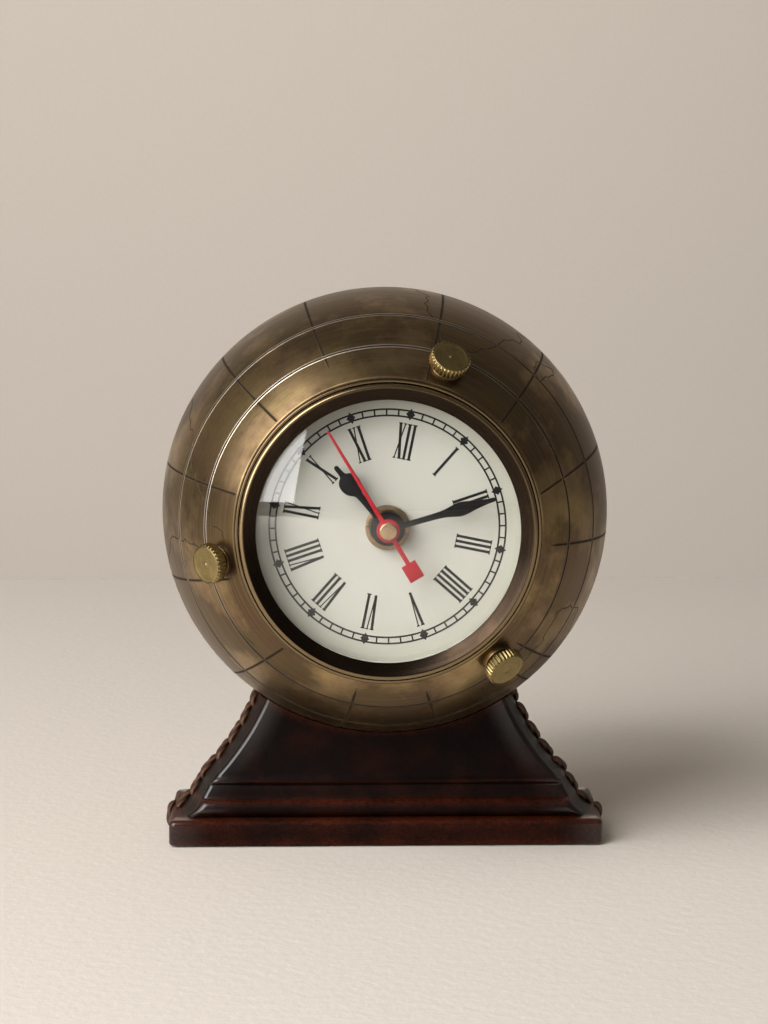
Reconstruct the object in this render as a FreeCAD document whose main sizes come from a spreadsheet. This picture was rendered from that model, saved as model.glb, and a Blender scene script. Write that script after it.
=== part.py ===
import FreeCAD
import Part
import Sketcher
import math
import os

# World time clock: a hollow brass globe that holds one quartz clock and rests in the dished top
# of a leather-covered stand. Millimetres, +Z up, the dial faces -Y, and the origin is on the
# underside of the stand, below the centre of the globe.
# The clock and the globe are drawn about the dial's axis: local +Z points out of the dial.

SIZES = {
    # globe
    "globe_radius": "57.5",
    "globe_wall": "2.0",
    "cavity_cuts": "6",
    "globe_centre_height": "85.0",
    "opening_depth": "43.2",
    "dial_roll": "11.5",
    "rim_chamfer": "0.5",
    # opening collar inside the globe
    "collar_wall": "1.2",
    "collar_length": "5.6",
    "drum_clearance": "0.3",
    # thumb screws and their bushes
    "screw_tilt": "47.0",
    "screw_lead_angle": "19.7",
    "screw_spacing_angle": "120.0",
    "screw_radius": "2.0",
    "screw_running_gap": "0.05",
    "screw_tip_radius": "1.0",
    "screw_tip_gap": "0.35",
    "screw_lift": "1.7",
    "screw_neck_radius": "2.8",
    "screw_neck_length": "0.7",
    "screw_head_radius": "5.0",
    "screw_head_height": "2.8",
    "screw_head_chamfer": "0.35",
    "screw_pip_radius": "0.5",
    "screw_pip_height": "0.2",
    "knurl_count": "30",
    "knurl_depth": "0.32",
    "knurl_width_share": "0.8",
    "bush_radius": "4.0",
    "bush_boss": "0.8",
    "bush_inner_lip": "1.0",
    # stand: half depths are front to back, half widths are left to right
    "plinth_half_width": "55.9",
    "plinth_half_depth": "18.6",
    "plinth_height": "7.0",
    "plinth_corner_radius": "1.6",
    "plinth_round": "1.3",
    "torus_half_depth": "14.9",
    "torus_top": "11.5",
    "torus_radius": "2.7",
    "neck_half_depth": "13.9",
    "cove_half_depth": "13.5",
    "foot_half_depth": "13.4",
    "foot_height": "15.8",
    "foot_round": "2.6",
    "top_half_depth": "12.0",
    "top_height": "37.3",
    "front_flare_radius": "120.0",
    "end_bow_centre": "5.0",
    "end_sweep_start": "6.2",
    "end_sweep_width": "54.6",
    "end_foot_width": "47.0",
    "end_foot_height": "16.2",
    "end_foot_radius": "26.0",
    "end_top_width": "33.1",
    "end_flare_radius": "62.0",
    "leather_thickness": "1.5",
    "leather_lift": "0.3",
    "felt_thickness": "1.0",
    "lining_thickness": "1.0",
    "seat_gap": "0.3",
    # lacing up the side seams
    "stitch_count": "8",
    "stitch_length": "5.6",
    "stitch_width": "2.3",
    "stitch_height": "1.3",
    "stitch_sink": "0.5",
    "stitch_slant": "48.0",
    "stitch_chamfer": "0.5",
    "lacing_start": "2.2",
    # bezel, drum and glass
    "bezel_radius": "37.5",
    "bezel_seat_gap": "0.3",
    "bead_height": "0.9",
    "bezel_softening": "0.35",
    "groove_radius": "36.4",
    "groove_width": "0.25",
    "crest_inner_radius": "34.9",
    "crest_outer_radius": "36.2",
    "crest_height": "2.2",
    "lip_radius": "32.3",
    "lip_height": "0.4",
    "drum_wall": "1.2",
    "drum_step": "1.0",
    "drum_back_depth": "31.7",
    "glass_rise": "4.6",
    "glass_thickness": "1.8",
    "glass_edge_width": "1.7",
    "glass_side_gap": "0.2",
    "glass_top_gap": "0.1",
    "spacer_wall": "0.6",
    "spacer_side_gap": "0.1",
    "spacer_top_gap": "0.02",
    # dial
    "dial_depth": "33.8",
    "dial_thickness": "0.4",
    "dial_plate_thickness": "1.0",
    "dial_side_gap": "0.1",
    "washer_thickness": "1.0",
    "washer_radius": "7.0",
    "bush_thread_radius": "3.95",
    "bush_thread_gap": "0.1",
    "bush_thread_rise": "2.8",
    "nut_radius": "5.5",
    "nut_thickness": "2.0",
    "nut_slot_width": "1.2",
    "nut_slot_depth": "0.7",
    # movement case
    "case_half_size": "25.0",
    "case_corner_radius": "2.5",
    "case_depth": "14.0",
    "case_wall": "1.2",
    "cover_thickness": "1.2",
    "train_floor": "-10.9",
    "bay_top": "-12.1",
    "bay_depth": "11.2",
    "pivot_hole_depth": "0.7",
    "pivot_end_gap": "0.1",
    "pivot_gap": "0.05",
    "train_plate_thickness": "1.0",
    "train_plate_depth": "25.2",
    "plate_side_gap": "0.1",
    "plate_top": "8.2",
    "bridge_overlap_share": "0.1",
    "plate_pipe_gap": "0.65",
    # battery and contacts
    "cell_radius": "5.25",
    "cell_length": "44.5",
    "cell_nub_radius": "1.9",
    "cell_nub_height": "0.8",
    "cell_gap": "0.3",
    "contact_thickness": "0.4",
    "contact_half_width": "4.4",
    "contact_spring_radius": "2.0",
    "contact_spring_gap": "0.1",
    # gear train: distances between arbors, directions in degrees, tooth counts, levels
    "third_distance": "8.4",
    "third_direction": "0.0",
    "fifth_distance": "8.4",
    "fifth_direction": "120.0",
    "rotor_distance": "7.2",
    "rotor_direction": "150.0",
    "motion_distance": "9.0",
    "motion_direction": "180.0",
    "rotor_teeth": "6",
    "fifth_wheel_teeth": "30",
    "fifth_pinion_teeth": "6",
    "seconds_wheel_teeth": "36",
    "seconds_pinion_teeth": "6",
    "third_wheel_teeth": "45",
    "third_pinion_teeth": "6",
    "centre_wheel_teeth": "48",
    "centre_pinion_teeth": "10",
    "motion_wheel_teeth": "30",
    "motion_pinion_teeth": "8",
    "hour_wheel_teeth": "32",
    "tooth_tip_share": "0.8",
    "tooth_root_share": "1.15",
    "tooth_base_share": "0.56",
    "tooth_land_share": "0.12",
    "wheel_thickness": "0.8",
    "rotor_level": "19.0",
    "seconds_level": "20.6",
    "third_level": "22.2",
    "centre_level": "23.8",
    "motion_level": "26.8",
    "hour_level": "28.4",
    "arbor_radius": "0.4",
    "seconds_arbor_radius": "0.5",
    "motion_arbor_radius": "0.7",
    "magnet_radius": "2.2",
    "magnet_height": "2.0",
    "magnet_level": "21.9",
    "centre_pipe_radius": "1.6",
    "centre_pipe_bore": "0.58",
    "centre_pipe_flange": "2.2",
    "flange_thickness": "0.3",
    "hour_pipe_radius": "2.55",
    "pipe_gap": "0.08",
    # motor and circuit
    "stator_level": "22.4",
    "stator_thickness": "1.0",
    "stator_bar_bottom": "8.9",
    "stator_bar_top": "13.2",
    "stator_half_span": "15.0",
    "stator_arm_width": "3.0",
    "stator_magnet_gap": "0.5",
    "stator_pole_wall": "1.6",
    "coil_height": "19.5",
    "core_half_width": "1.5",
    "coil_half_length": "10.0",
    "coil_radius": "3.7",
    "bobbin_wall": "0.5",
    "bobbin_flange_radius": "4.0",
    "bobbin_flange_thickness": "0.8",
    "core_gap": "0.1",
    "stator_post_radius": "1.2",
    "board_half_length": "18.0",
    "board_bottom": "14.0",
    "board_top": "23.0",
    "board_thickness": "0.8",
    "crystal_radius": "1.0",
    "crystal_length": "6.0",
    "crystal_place": "11.0",
    "crystal_height": "16.4",
    # hands
    "hour_hand_level": "37.2",
    "minute_hand_level": "38.9",
    "second_hand_level": "40.9",
    "hand_thickness": "0.35",
    "hand_point_share": "0.7",
    "minute_bulge_share": "3.0",
    "hour_hand_length": "20.1",
    "hour_hub_radius": "4.2",
    "hour_stem_half_width": "0.75",
    "hour_bulge_place": "14.6",
    "hour_bulge_half_width": "2.75",
    "hour_tip_half_width": "0.8",
    "minute_hand_length": "27.3",
    "minute_hub_radius": "3.8",
    "minute_stem_half_width": "0.6",
    "minute_bulge_place": "18.5",
    "minute_bulge_half_width": "1.75",
    "minute_tip_half_width": "0.5",
    "second_hand_length": "28.5",
    "second_tail_length": "13.9",
    "second_hub_radius": "2.85",
    "second_stem_half_width": "0.55",
    "second_tip_half_width": "0.3",
    "second_weight_half_width": "1.9",
    "second_weight_length": "4.5",
    "second_cap_radius": "2.15",
    "second_cap_height": "1.1",
    "second_cap_round": "0.5",
    "hour_direction": "40.0",
    "minute_direction": "-74.0",
    "second_direction": "31.0",
    # setting knob behind the case
    "knob_radius": "4.5",
    "knob_thickness": "2.2",
    "knob_gap": "0.3",
    "knob_knurl_count": "20",
    "knob_knurl_depth": "0.35",
    "cut_overrun": "1.0",
}

doc = FreeCAD.newDocument("world_time_clock")


class Size:
    """A length in millimetres, with the formula that binds it to the table of sizes."""

    def __init__(self, number, formula):
        self.number = number
        self.formula = formula

    def __float__(self):
        return float(self.number)

    def __add__(self, other):
        return Size(float(self) + float(other), f"({self.formula} + {formula_of(other)})")

    def __radd__(self, other):
        return as_size(other) + self

    def __sub__(self, other):
        return Size(float(self) - float(other), f"({self.formula} - {formula_of(other)})")

    def __rsub__(self, other):
        return as_size(other) - self

    def __mul__(self, other):
        return Size(float(self) * float(other), f"({self.formula} * {formula_of(other)})")

    __rmul__ = __mul__

    def __truediv__(self, other):
        return Size(float(self) / float(other), f"({self.formula} / {formula_of(other)})")

    def __neg__(self):
        return Size(-float(self), f"(0 - {self.formula})")


def formula_of(value):
    return value.formula if isinstance(value, Size) else str(value)


def as_size(value):
    return value if isinstance(value, Size) else Size(float(value), str(value))


def root(value):
    return Size(math.sqrt(float(value)), f"sqrt({value.formula})")


def sine(angle):
    return Size(math.sin(math.radians(float(angle))), f"sin({angle.formula} * 1 deg)")


def cosine(angle):
    return Size(math.cos(math.radians(float(angle))), f"cos({angle.formula} * 1 deg)")


def half_chord(radius, offset):
    """Half the width of a circle at an offset from its centre."""
    return root(radius * radius - offset * offset)


class Table:
    """The sizes of the table as attributes, each bound to its cell."""

    def __init__(self, values):
        self.sheet = doc.addObject("Spreadsheet::Sheet", "sizes")
        for row, (alias, text) in enumerate(values.items(), start=1):
            self.sheet.set(f"A{row}", alias.replace("_", " "))
            self.sheet.set(f"B{row}", text)
            self.sheet.setAlias(f"B{row}", alias)
        doc.recompute()

    def __getattr__(self, alias):
        return Size(float(self.sheet.get(alias)), f"sizes.{alias}")


at = Table(SIZES)
ZERO = Size(0.0, "0")


# Sketches and simple parts


def bind(thing, path, size):
    """Tie one property of an object to the table."""
    thing.setExpression(path, as_size(size).formula)


def origin_plane(body, role):
    return [feature for feature in body.Origin.OriginFeatures if feature.Role == role][0]


def new_sketch(body, name, role="XY_Plane", level=None):
    sketch = body.newObject("Sketcher::SketchObject", name)
    sketch.AttachmentSupport = [(origin_plane(body, role), "")]
    sketch.MapMode = "FlatFace"
    if level is not None:
        bind(sketch, "AttachmentOffset.Base.z", level)
    return sketch


def fix_point(sketch, edge, end, place):
    """Hold one end of an edge at a place whose coordinates are sizes."""
    for kind, along, value in (("DistanceX", -2, place[0]), ("DistanceY", -1, place[1])):
        if float(value) == 0.0:
            sketch.addConstraint(Sketcher.Constraint("PointOnObject", edge, end, along))
        else:
            datum = Sketcher.Constraint(kind, -1, 1, edge, end, float(value))
            bind(sketch, f"Constraints[{sketch.addConstraint(datum)}]", value)


def arc_between(start, end, radius, turn):
    """The arc from start to end, turning left (+1) or right (-1), and its two end numbers."""
    run_x = end[0] - start[0]
    run_y = end[1] - start[1]
    run = math.hypot(run_x, run_y)
    reach = math.sqrt(max(radius * radius - run * run / 4, 0.0))
    centre_x = (start[0] + end[0]) / 2 - turn * reach * run_y / run
    centre_y = (start[1] + end[1]) / 2 + turn * reach * run_x / run
    first = math.atan2(start[1] - centre_y, start[0] - centre_x)
    last = math.atan2(end[1] - centre_y, end[0] - centre_x)
    circle = Part.Circle(FreeCAD.Vector(centre_x, centre_y, 0), FreeCAD.Vector(0, 0, 1), radius)
    if turn > 0:
        return Part.ArcOfCircle(circle, first, last), 1, 2
    return Part.ArcOfCircle(circle, last, first), 2, 1


def draw(sketch, corners):
    """Draw a closed outline. A corner is (x, y), or (x, y, radius, turn) when an arc leads to it."""
    count = len(corners)
    places = [(float(corner[0]), float(corner[1])) for corner in corners]
    edges = []
    for index in range(count):
        corner = corners[(index + 1) % count]
        start = places[index]
        end = places[(index + 1) % count]
        if len(corner) == 2:
            line = Part.LineSegment(FreeCAD.Vector(*start, 0), FreeCAD.Vector(*end, 0))
            edges.append((sketch.addGeometry(line, False), 1, 2))
        else:
            arc, head, tail = arc_between(start, end, float(corner[2]), corner[3])
            edges.append((sketch.addGeometry(arc, False), head, tail))
            datum = Sketcher.Constraint("Radius", edges[-1][0], float(corner[2]))
            bind(sketch, f"Constraints[{sketch.addConstraint(datum)}]", corner[2])
    for index, (edge, head, tail) in enumerate(edges):
        following = edges[(index + 1) % count]
        join = Sketcher.Constraint("Coincident", edge, tail, following[0], following[1])
        sketch.addConstraint(join)
        fix_point(sketch, edge, head, corners[index])


def draw_circle(sketch, place, radius):
    centre = FreeCAD.Vector(float(place[0]), float(place[1]), 0)
    circle = Part.Circle(centre, FreeCAD.Vector(0, 0, 1), float(radius))
    index = sketch.addGeometry(circle, False)
    datum = Sketcher.Constraint("Radius", index, float(radius))
    bind(sketch, f"Constraints[{sketch.addConstraint(datum)}]", radius)
    fix_point(sketch, index, 3, place)


def turned(name, corners):
    """A body turned about its local Z axis from a section of (radius, level) corners."""
    body = doc.addObject("PartDesign::Body", name)
    section = new_sketch(body, f"{name}_section", "XZ_Plane")
    draw(section, corners)
    feature = body.newObject("PartDesign::Revolution", f"{name}_turned")
    feature.Profile = section
    feature.ReferenceAxis = (section, ["V_Axis"])
    feature.Angle = 360
    return body


def padded(name, outlines, circles, level, thickness):
    """A flat body padded up from a level, with outlines and round outlines or holes."""
    body = doc.addObject("PartDesign::Body", name)
    sketch = new_sketch(body, f"{name}_outline", "XY_Plane", level)
    for outline in outlines:
        draw(sketch, outline)
    for place, radius in circles:
        draw_circle(sketch, place, radius)
    feature = body.newObject("PartDesign::Pad", f"{name}_pad")
    feature.Profile = sketch
    bind(feature, "Length", thickness)
    return body


def add_pad(body, name, outlines, circles, level, thickness):
    sketch = new_sketch(body, f"{name}_outline", "XY_Plane", level)
    for outline in outlines:
        draw(sketch, outline)
    for place, radius in circles:
        draw_circle(sketch, place, radius)
    feature = body.newObject("PartDesign::Pad", name)
    feature.Profile = sketch
    bind(feature, "Length", thickness)
    return feature


def add_pocket(body, name, outlines, circles, level, depth, upwards=False):
    """Cut outlines down from a level, or up from it, and make sure that something was cut."""
    doc.recompute()
    before = body.Shape.Volume
    sketch = new_sketch(body, f"{name}_outline", "XY_Plane", level)
    for outline in outlines:
        draw(sketch, outline)
    for place, radius in circles:
        draw_circle(sketch, place, radius)
    feature = body.newObject("PartDesign::Pocket", name)
    feature.Profile = sketch
    feature.Reversed = upwards
    bind(feature, "Length", depth)
    doc.recompute()
    if not body.Shape.Volume < before:
        raise RuntimeError(f"{name} cuts nothing")
    return feature


def repeat_around(body, feature, name, axis_sketch, count):
    """Repeat a feature evenly about the body's own axis."""
    pattern = body.newObject("PartDesign::PolarPattern", name)
    pattern.Originals = [feature]
    pattern.Axis = (axis_sketch, ["N_Axis"])
    pattern.Angle = 360
    bind(pattern, "Occurrences", count)
    body.Tip = pattern
    return pattern


def rectangle(left, bottom, right, top):
    return [(left, bottom), (right, bottom), (right, top), (left, top)]


def rounded_rectangle(wide, deep, radius):
    """An outline about the axis with round corners, from its two half sizes."""
    side = wide - radius
    face = deep - radius
    return [
        (-side, -deep, radius, 1), (side, -deep), (wide, -face, radius, 1), (wide, face),
        (side, deep, radius, 1), (-side, deep), (-wide, face, radius, 1), (-wide, -face),
    ]


def cylinder(name, radius, height, place=None):
    tool = doc.addObject("Part::Cylinder", name)
    bind(tool, "Radius", radius)
    bind(tool, "Height", height)
    if place is not None:
        tool.Placement = place
    return tool


def ball(name, radius, height=ZERO):
    """A sphere on the Z axis, turned so that its poles lie at the front and the back."""
    tool = doc.addObject("Part::Sphere", name)
    bind(tool, "Radius", radius)
    tool.Placement = turn(X_AXIS, 90)
    bind(tool, "Placement.Base.z", height)
    return tool


def combine(kind, name, base, tool):
    result = doc.addObject(f"Part::{kind}", name)
    result.Base = base
    result.Tool = tool
    return result


def solid_feature(name, shape):
    feature = doc.addObject("Part::Feature", name)
    feature.Shape = shape
    return feature


# Places in space

NODES = {}
X_AXIS = FreeCAD.Vector(1, 0, 0)
Y_AXIS = FreeCAD.Vector(0, 1, 0)
Z_AXIS = FreeCAD.Vector(0, 0, 1)


def turn(axis, degrees):
    return FreeCAD.Placement(FreeCAD.Vector(), FreeCAD.Rotation(axis, float(degrees)))


def shift(x, y, z):
    return FreeCAD.Placement(FreeCAD.Vector(float(x), float(y), float(z)), FreeCAD.Rotation())


def globe_frame():
    """Local +Z out of the dial, local +Y up, origin at the centre of the globe."""
    return shift(ZERO, ZERO, at.globe_centre_height) * turn(X_AXIS, 90)


def clock_frame():
    """The globe's frame, with the clock rolled clockwise in it as the dial stands."""
    return globe_frame() * turn(Z_AXIS, -at.dial_roll)


def keep(name, thing, place=None):
    """Name a finished piece, and put it in its place."""
    if thing.Label != name:
        thing.Label = name
    if place is not None:
        thing.Placement = place
    NODES[name] = thing


# Globe

def globe_inner_radius():
    return at.globe_radius - at.globe_wall


def rim_radius():
    """Where the flat face of the opening meets the outside of the globe."""
    return half_chord(at.globe_radius, at.opening_depth)


def drum_outer_radius():
    return lip_seat_radius() + at.drum_wall


def lip_seat_radius():
    """Inside of the drum, where the glass and the dial sit."""
    return at.lip_radius + at.glass_edge_width + at.glass_side_gap


def collar_inner_radius():
    return drum_outer_radius() + at.drum_clearance


def collar_outer_radius():
    return collar_inner_radius() + at.collar_wall


def screw_place(index):
    """Local +Z along one thumb screw, out of the centre of the globe."""
    around = at.screw_lead_angle + at.screw_spacing_angle * index
    return globe_frame() * turn(Z_AXIS, -around) * turn(X_AXIS, -at.screw_tilt)


def screw_tip_depth():
    """Distance of the flat tip from the globe's centre, just off the wall of the drum."""
    reach = drum_outer_radius() + at.screw_tip_gap + at.screw_tip_radius * cosine(at.screw_tilt)
    return reach / sine(at.screw_tilt)


def bush_bottom():
    return globe_inner_radius() - at.bush_inner_lip


def bush_top():
    return at.globe_radius + at.bush_boss


def cavity_corners(first, last, steps):
    """Corners of the inside of the casting, turned in straight cuts just inside its radius."""
    corners = []
    for index in range(steps + 1):
        angle = first + (last - first) * index / steps
        corners.append((globe_inner_radius() * cosine(angle), globe_inner_radius() * sine(angle)))
    return corners


def make_globe_halves():
    inner = globe_inner_radius()
    bore = collar_outer_radius()
    shoulder = at.opening_depth - at.rim_chamfer
    cuts = int(float(at.cavity_cuts))
    mouth = Size(math.degrees(math.acos(float(bore) / float(inner))),
                 f"(acos({bore.formula} / {inner.formula}) / 1 deg)")
    front = turned("globe_front_blank", [
        (at.globe_radius, ZERO),
        (half_chord(at.globe_radius, shoulder), shoulder, at.globe_radius, 1),
        (rim_radius() - at.rim_chamfer, at.opening_depth), (bore, at.opening_depth),
        *cavity_corners(mouth, ZERO, cuts // 2),
    ])
    bores = []
    for index in range(3):
        place = globe_frame().inverse() * screw_place(index) * shift(ZERO, ZERO, bush_bottom())
        bores.append(cylinder(f"bush_bore_{index}", at.bush_radius, bush_top() - bush_bottom(),
                              place))
    tools = doc.addObject("Part::MultiFuse", "bush_bores")
    tools.Shapes = bores
    keep("globe_front_half", combine("Cut", "globe_front_half", front, tools), globe_frame())
    quarter = as_size(90)
    pole = [(ZERO, -inner), (ZERO, -at.globe_radius)]
    rear = turned("globe_rear_half", [
        *pole, (at.globe_radius, ZERO, at.globe_radius, 1),
        *cavity_corners(ZERO, -quarter, cuts)[:-1],
    ])
    keep("globe_rear_half", rear, globe_frame())


def make_collar():
    bottom = at.opening_depth - at.collar_length
    collar = turned("opening_collar", [
        (collar_inner_radius(), bottom), (collar_outer_radius(), bottom),
        (collar_outer_radius(), at.opening_depth), (collar_inner_radius(), at.opening_depth),
    ])
    keep("opening_collar", collar, globe_frame())


def make_bushes():
    tubes = []
    for index in range(3):
        outer = cylinder(f"bush_{index}", at.bush_radius, bush_top() - bush_bottom())
        bore = cylinder(f"bush_thread_{index}", at.screw_radius + at.screw_running_gap,
                        bush_top() - bush_bottom())
        tube = combine("Cut", f"bush_tube_{index}", outer, bore)
        tube.Placement = (globe_frame().inverse() * screw_place(index)
                          * shift(ZERO, ZERO, bush_bottom()))
        tubes.append(tube)
    bushes = doc.addObject("Part::Compound", "screw_bushes")
    bushes.Links = tubes
    keep("screw_bushes", bushes, globe_frame())


def make_thumb_screws():
    tip = screw_tip_depth()
    cone = at.screw_radius - at.screw_tip_radius
    head = at.globe_radius + at.screw_lift
    face = head + at.screw_head_height
    section = [
        (ZERO, tip), (at.screw_tip_radius, tip), (at.screw_radius, tip + cone),
        (at.screw_radius, head - at.screw_neck_length),
        (at.screw_neck_radius, head - at.screw_neck_length),
        (at.screw_neck_radius, head), (at.screw_head_radius, head),
        (at.screw_head_radius, face - at.screw_head_chamfer),
        (at.screw_head_radius - at.screw_head_chamfer, face),
        (at.screw_pip_radius, face), (ZERO, face + at.screw_pip_height),
    ]
    for index, side in enumerate(("top", "right", "left")):
        name = f"thumb_screw_{side}"
        body = turned(name, section)
        ridge_cuts(body, at.screw_head_radius, at.knurl_depth, at.knurl_count,
                   head - at.cut_overrun / 2, at.screw_head_height + at.cut_overrun)
        keep(name, body, screw_place(index))


def ridge_cuts(body, radius, depth, count, level, height):
    """Coin-edge knurling: one V groove in the rim, repeated all the way round."""
    half = radius * math.pi / count * at.knurl_width_share
    groove = [(radius - depth, ZERO), (radius + depth, -half), (radius + depth, half)]
    pocket = add_pocket(body, f"{body.Name}_groove", [groove], [], level, height, True)
    repeat_around(body, pocket, f"{body.Name}_knurl", pocket.Profile[0], count)


# Stand

def front_section(inset):
    """Right half of the moulding seen from the end: ledge, torus, cove and flare."""
    cove = (at.torus_top + at.foot_height) / 2
    return [
        (at.plinth_half_depth - inset - at.plinth_round, at.plinth_height / 2),
        (at.plinth_half_depth - inset - at.plinth_round, at.plinth_height - inset),
        (at.torus_half_depth - inset, at.plinth_height - inset),
        (at.torus_half_depth - inset, at.torus_top - inset, at.torus_radius, 1),
        (at.neck_half_depth - inset, at.torus_top - inset),
        (at.cove_half_depth - inset, cove - inset, at.foot_round, -1),
        (at.foot_half_depth - inset, at.foot_height - inset),
        (at.top_half_depth - inset, at.top_height - inset, at.front_flare_radius, -1),
    ]


def end_section(inset):
    """The sweep of an end from the ledge up to the seat, measured from its bowing axis."""
    widths = [
        (at.end_sweep_width, at.plinth_height / 2),
        (at.end_sweep_width, at.end_sweep_start),
        (at.end_foot_width, at.end_foot_height, at.end_foot_radius, -1),
        (at.end_top_width, at.top_height - inset, at.end_flare_radius, -1),
    ]
    return [(corner[0] - at.end_bow_centre - inset, *corner[1:]) for corner in widths]


def both_sides(half):
    """Close a right-hand half outline with its mirror image."""
    mirrored = []
    for index in range(len(half) - 1, -1, -1):
        arrival = half[index + 1] if index + 1 < len(half) else half[index][:2]
        mirrored.append((-half[index][0], half[index][1], *arrival[2:]))
    return half + mirrored


def stand_block(name, inset):
    """The moulded block: a plinth, and a ledged front and back between two bowed ends."""
    body = doc.addObject("PartDesign::Body", f"{name}_front")
    sketch = new_sketch(body, f"{name}_front_section", "YZ_Plane")
    draw(sketch, both_sides(front_section(inset)))
    drawn = body.newObject("PartDesign::Pad", f"{name}_front_pad")
    drawn.Profile = sketch
    drawn.Midplane = True
    bind(drawn, "Length", at.plinth_half_width * 2)
    ends = []
    for side, sign in (("right", 1), ("left", -1)):
        sweep = end_section(inset)
        section = [(ZERO, sweep[0][1]), *sweep, (ZERO, sweep[-1][1])]
        end = turned(f"{name}_{side}_end", section)
        bind(end, "Placement.Base.x", at.end_bow_centre * sign)
        ends.append(end)
    bowed = combine("Fuse", f"{name}_ends", ends[0], ends[1])
    upper = combine("Common", f"{name}_upper", drawn, bowed)
    return combine("Fuse", f"{name}_block", plinth(f"{name}_plinth", inset), upper)


def plinth(name, inset):
    """The bottom slab, with round corners and a soft upper edge."""
    wide = at.plinth_half_width - inset
    deep = at.plinth_half_depth - inset
    bottom = at.felt_thickness if inset is not ZERO else at.leather_lift
    round_radius = at.plinth_corner_radius
    body = padded(name, [rounded_rectangle(wide, deep, round_radius)], [], bottom,
                  at.plinth_height - inset - bottom)
    doc.recompute()
    slab = body.Tip
    half_way = float(at.plinth_height) / 2
    edges = [f"Edge{index}" for index, edge in enumerate(slab.Shape.Edges, start=1)
             if edge.BoundBox.ZMin > half_way]
    soft = body.newObject("PartDesign::Fillet", f"{name}_soft_edge")
    soft.Base = (slab, edges)
    bind(soft, "Radius", at.plinth_round)
    body.Tip = soft
    return body


def felt_outline():
    return rounded_rectangle(at.plinth_half_width - at.leather_thickness,
                             at.plinth_half_depth - at.leather_thickness,
                             at.plinth_corner_radius)


def make_stand():
    centre = at.globe_centre_height
    seat = at.globe_radius + at.seat_gap
    lining_seat = seat + at.lining_thickness
    outer = stand_block("cover", ZERO)
    inner = stand_block("core", at.leather_thickness)
    core = combine("Cut", "base_core", inner, ball("core_dish", lining_seat, centre))
    keep("base_core", core)
    shell = combine("Cut", "lining_shell", ball("lining_outer", lining_seat, centre),
                    ball("lining_inner", seat, centre))
    footprint = stand_block("lining", at.leather_thickness)
    keep("seat_lining", combine("Common", "seat_lining", footprint, shell))
    trimmed = combine("Cut", "leather_trimmed", outer, ball("leather_dish", seat, centre))
    hollow = combine("Cut", "leather_hollow", trimmed, stand_block("hollow", at.leather_thickness))
    pocket = padded("felt_pocket", [felt_outline()], [], ZERO, at.felt_thickness)
    wrap = combine("Cut", "leather_wrap", hollow, pocket)
    for label, sign in (("front", -1), ("rear", 1)):
        half = doc.addObject("Part::Box", f"{label}_region")
        bind(half, "Length", (at.plinth_half_width + at.cut_overrun) * 2)
        bind(half, "Width", at.plinth_half_depth + at.cut_overrun)
        bind(half, "Height", at.top_height + at.cut_overrun)
        bind(half, "Placement.Base.x", -at.plinth_half_width - at.cut_overrun)
        if sign < 0:
            bind(half, "Placement.Base.y", -at.plinth_half_depth - at.cut_overrun)
        keep(f"leather_{label}", combine("Common", f"leather_{label}", wrap, half))
    keep("base_felt", padded("base_felt", [felt_outline()], [], ZERO, at.felt_thickness))
    return outer


def seam_wire():
    """The side seam from just above the table up to the seat, as points (half width, height)."""
    corners = end_section(ZERO)[1:]
    sweep = [(float(corner[0] + at.end_bow_centre), float(corner[1])) for corner in corners]
    edge = float(at.plinth_half_width)
    start = [(edge, float(at.lacing_start)), (edge, float(at.plinth_height - at.plinth_round)),
             sweep[0]]
    edges = [Part.LineSegment(FreeCAD.Vector(*a, 0), FreeCAD.Vector(*b, 0)).toShape()
             for a, b in zip(start, start[1:])]
    for index in range(1, len(sweep)):
        arc = arc_between(sweep[index - 1], sweep[index], float(corners[index][2]),
                          corners[index][3])[0]
        edges.append(arc.toShape())
    return Part.Wire(edges)


def make_lacing(cover):
    """Whip stitches: slanted bars of lace that cross the seam at equal steps along it."""
    count = int(float(at.stitch_count))
    points = seam_wire().discretize(Number=count * 8 + 1)
    for label, sign in (("right", 1), ("left", -1)):
        stitches = []
        for index in range(count):
            here = points[index * 8 + 4]
            ahead = points[index * 8 + 7] - points[index * 8 + 1]
            stitches.append(stitch_shape(sign, here, math.degrees(math.atan2(ahead.x, ahead.y))))
        bars = solid_feature(f"stitches_{label}", Part.makeCompound(stitches))
        name = f"lace_{label}"
        keep(name, combine("Cut", name, bars, cover))


def stitch_shape(sign, here, slope):
    """One stitch: a bar with bevelled long edges, lying across the seam and slanted along it."""
    half = float(at.stitch_width) / 2
    height = float(at.stitch_height)
    bevel = float(at.stitch_chamfer)
    reach = float(at.stitch_length) / 2
    sink = -float(at.stitch_sink)
    outline = [(-half, sink), (half, sink), (half, height - bevel), (half - bevel, height),
               (bevel - half, height), (-half, height - bevel)]
    ring = [FreeCAD.Vector(side, -reach, up) for side, up in outline]
    bar = Part.Face(Part.makePolygon(ring + ring[:1])).extrude(FreeCAD.Vector(0, 2 * reach, 0))
    slant = turn(Z_AXIS, at.stitch_slant)
    bar.Placement = shift(sign * here.x, 0.0, here.y) * turn(Y_AXIS, sign * (90 + slope)) * slant
    return bar


# Clock: bezel, drum, glass and dial

def bezel_seat():
    return at.opening_depth + at.bezel_seat_gap


def dial_back():
    return at.dial_depth - at.dial_thickness


def plate_back():
    return dial_back() - at.dial_plate_thickness


def case_front():
    return plate_back() - at.washer_thickness


def case_back():
    return case_front() - at.case_depth


def cover_back():
    return case_front() - at.cover_thickness


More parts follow.
